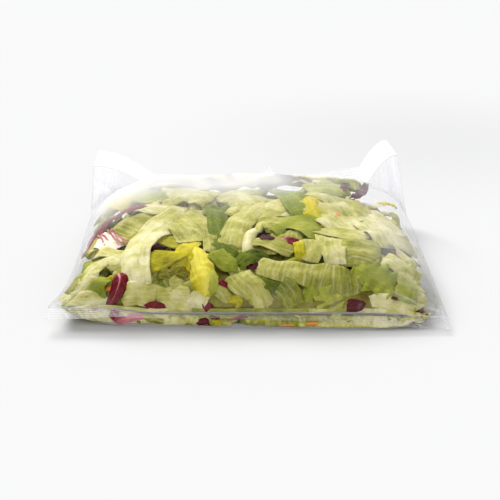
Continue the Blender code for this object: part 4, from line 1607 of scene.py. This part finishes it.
@dataclass(frozen=True)
class Studio:
    """A pale floor, soft light and a camera that looks slightly down on the bag's front."""

    elevation: float = math.radians(20.0)
    distance: float = 0.8825
    lens_mm: float = 79.7
    aim: Place = (0.5046, 0.522, 0.200)
    floor_half: float = 6.0
    shade_patch_place: tuple[float, float] = (0.20, 0.42)
    shade_patch_reach: float = 0.34
    room_light: float = 0.95
    dim_light: float = 0.12
    front_light: float = 2.4
    front_way: Place = (0.0, -0.99, 0.12)
    bright_way: Place = (-0.10, 0.55, 0.83)
    lamp_strength: float = 5.9
    lamp_spread: float = math.radians(34.0)
    lamp_place: Place = (-0.85, 1.95, 2.0)

    def floor(self) -> bpy.types.Object:
        """A wide pale floor, with painted shade: a little darker in a broad soft patch behind the bag."""
        half = self.floor_half
        corners = [(-half, -half, 0.0), (half, -half, 0.0), (half, half, 0.0), (-half, half, 0.0)]
        mesh = bpy.data.meshes.new("floor")
        mesh.from_pydata(corners, [], [(0, 1, 2, 3)])
        material = bpy.data.materials.new("pale_floor")
        material.use_nodes = True
        graph = Graph(material.node_tree)
        place = graph.add("ShaderNodeTexCoord").outputs["Object"]
        away = graph.add(
            "ShaderNodeVectorMath", {0: place, 1: (*self.shade_patch_place, 0.0)}, operation="DISTANCE"
        ).outputs["Value"]
        share = graph.add(
            "ShaderNodeMapRange", {"Value": away, "From Min": 0.0, "From Max": self.shade_patch_reach},
            interpolation_type="SMOOTHSTEP",
        ).outputs[0]
        # painted shade: the floor's colour is darker in the patch behind the bag and pale away from it
        colour = graph.blend(share, (0.405, 0.405, 0.407, 1.0), (0.44, 0.44, 0.442, 1.0))
        shader = graph.add("ShaderNodeBsdfPrincipled", {"Base Color": colour, "Roughness": 1.0})
        shader.inputs["Specular IOR Level"].default_value = 0.0
        graph.add("ShaderNodeOutputMaterial", {0: shader.outputs[0]})
        mesh.materials.append(material)
        floor = bpy.data.objects.new("floor", mesh)
        bpy.context.scene.collection.objects.link(floor)
        return floor

    def light(self) -> None:
        """White light from all round, brighter from behind and above, and one broad soft lamp."""
        world = bpy.data.worlds.new("pale_room")
        world.use_nodes = True
        graph = Graph(world.node_tree)
        way = graph.add("ShaderNodeTexCoord").outputs["Generated"]
        facing = graph.add(
            "ShaderNodeVectorMath", {0: way, 1: self.bright_way}, operation="DOT_PRODUCT"
        ).outputs["Value"]
        strength = graph.add(
            "ShaderNodeMapRange",
            {"Value": facing, "From Min": -0.7, "From Max": 1.0, "To Min": self.dim_light, "To Max": self.room_light},
        ).outputs[0]
        towards = graph.add(
            "ShaderNodeVectorMath", {0: way, 1: self.front_way}, operation="DOT_PRODUCT"
        ).outputs["Value"]
        front = graph.add(
            "ShaderNodeMapRange",
            {"Value": towards, "From Min": 0.68, "From Max": 1.0, "To Min": 0.0, "To Max": self.front_light},
        ).outputs[0]
        background = graph.add(
            "ShaderNodeBackground", {"Color": (1.0, 1.0, 1.0, 1.0), "Strength": graph.sum_of("ADD", strength, front)}
        )
        graph.add("ShaderNodeOutputWorld", {0: background.outputs[0]})
        bpy.context.scene.world = world
        lamp = bpy.data.lights.new("soft_lamp", "SUN")
        lamp.angle = self.lamp_spread
        lamp.energy = self.lamp_strength
        holder = bpy.data.objects.new("soft_lamp", lamp)
        bpy.context.scene.collection.objects.link(holder)
        holder.visible_glossy = False
        holder.location = self.lamp_place
        way = -np.array(self.lamp_place)
        holder.rotation_euler = (
            math.atan2(math.hypot(way[0], way[1]), -way[2]),
            0.0,
            math.atan2(way[1], way[0]) - math.pi / 2,
        )

    def camera(self, low: np.ndarray, high: np.ndarray) -> bpy.types.Object:
        """The camera, aimed at a place given as shares of the bag's box."""
        aim = low + (high - low) * np.array(self.aim)
        data = bpy.data.cameras.new("camera")
        data.lens = self.lens_mm
        data.sensor_width = 36.0
        data.clip_end = 50.0
        camera = bpy.data.objects.new("camera", data)
        bpy.context.scene.collection.objects.link(camera)
        back = np.array([0.0, -math.cos(self.elevation), math.sin(self.elevation)])
        camera.location = aim + self.distance * back
        camera.rotation_euler = (math.pi / 2 - self.elevation, 0.0, 0.0)
        bpy.context.scene.camera = camera
        return camera


def box_middle(form: BagForm) -> np.ndarray:
    """The middle of the formulas' own box, from a grid as fine as the bag's solid has."""
    across, along = np.meshgrid(np.linspace(-1, 1, 41), np.linspace(0, form.last, 133))
    upper, lower, _ = form.film(across, along)
    points = np.concatenate([upper.reshape(-1, 3), lower.reshape(-1, 3)])
    return (points.min(axis=0) + points.max(axis=0)) / 2


def main() -> None:
    """Builds the studio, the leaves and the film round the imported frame, and keeps both boxes."""
    logging.basicConfig(level=logging.INFO, format="%(message)s")
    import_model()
    low, high = (np.array(corner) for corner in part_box(NODE))

    studio = Studio()
    studio.camera(low, high)
    studio.floor()
    studio.light()
    bpy.context.scene.view_settings.view_transform = "Standard"

    form = BagForm()
    shift = box_middle(form) - (low + high) / 2
    shift[2] = 0.0
    sheets = sample_sheets(form, shift)
    grain = leaf_grain_group()
    SaladHeap(LeafMaker(sheets)).build({kind: finish.material(grain) for kind, finish in LEAF_FINISHES.items()})
    Core(sheets).build(SHADE_CORE_FINISH.material(grain))

    bag = FilmBag(form, shift, sheets[Side.TOP])
    finish = FilmFinish("clear_film").material()
    bag.pillow(finish)
    sealed = FilmFinish("sealed_film", hazy=(0.90, 0.90, 0.92, 1.0), haze_through=0.65).material()
    bag.seal("front_seal", 0.0, sealed)
    bag.seal("far_seal", float(form.far_inner), sealed)


if __name__ == "__main__":
    main()
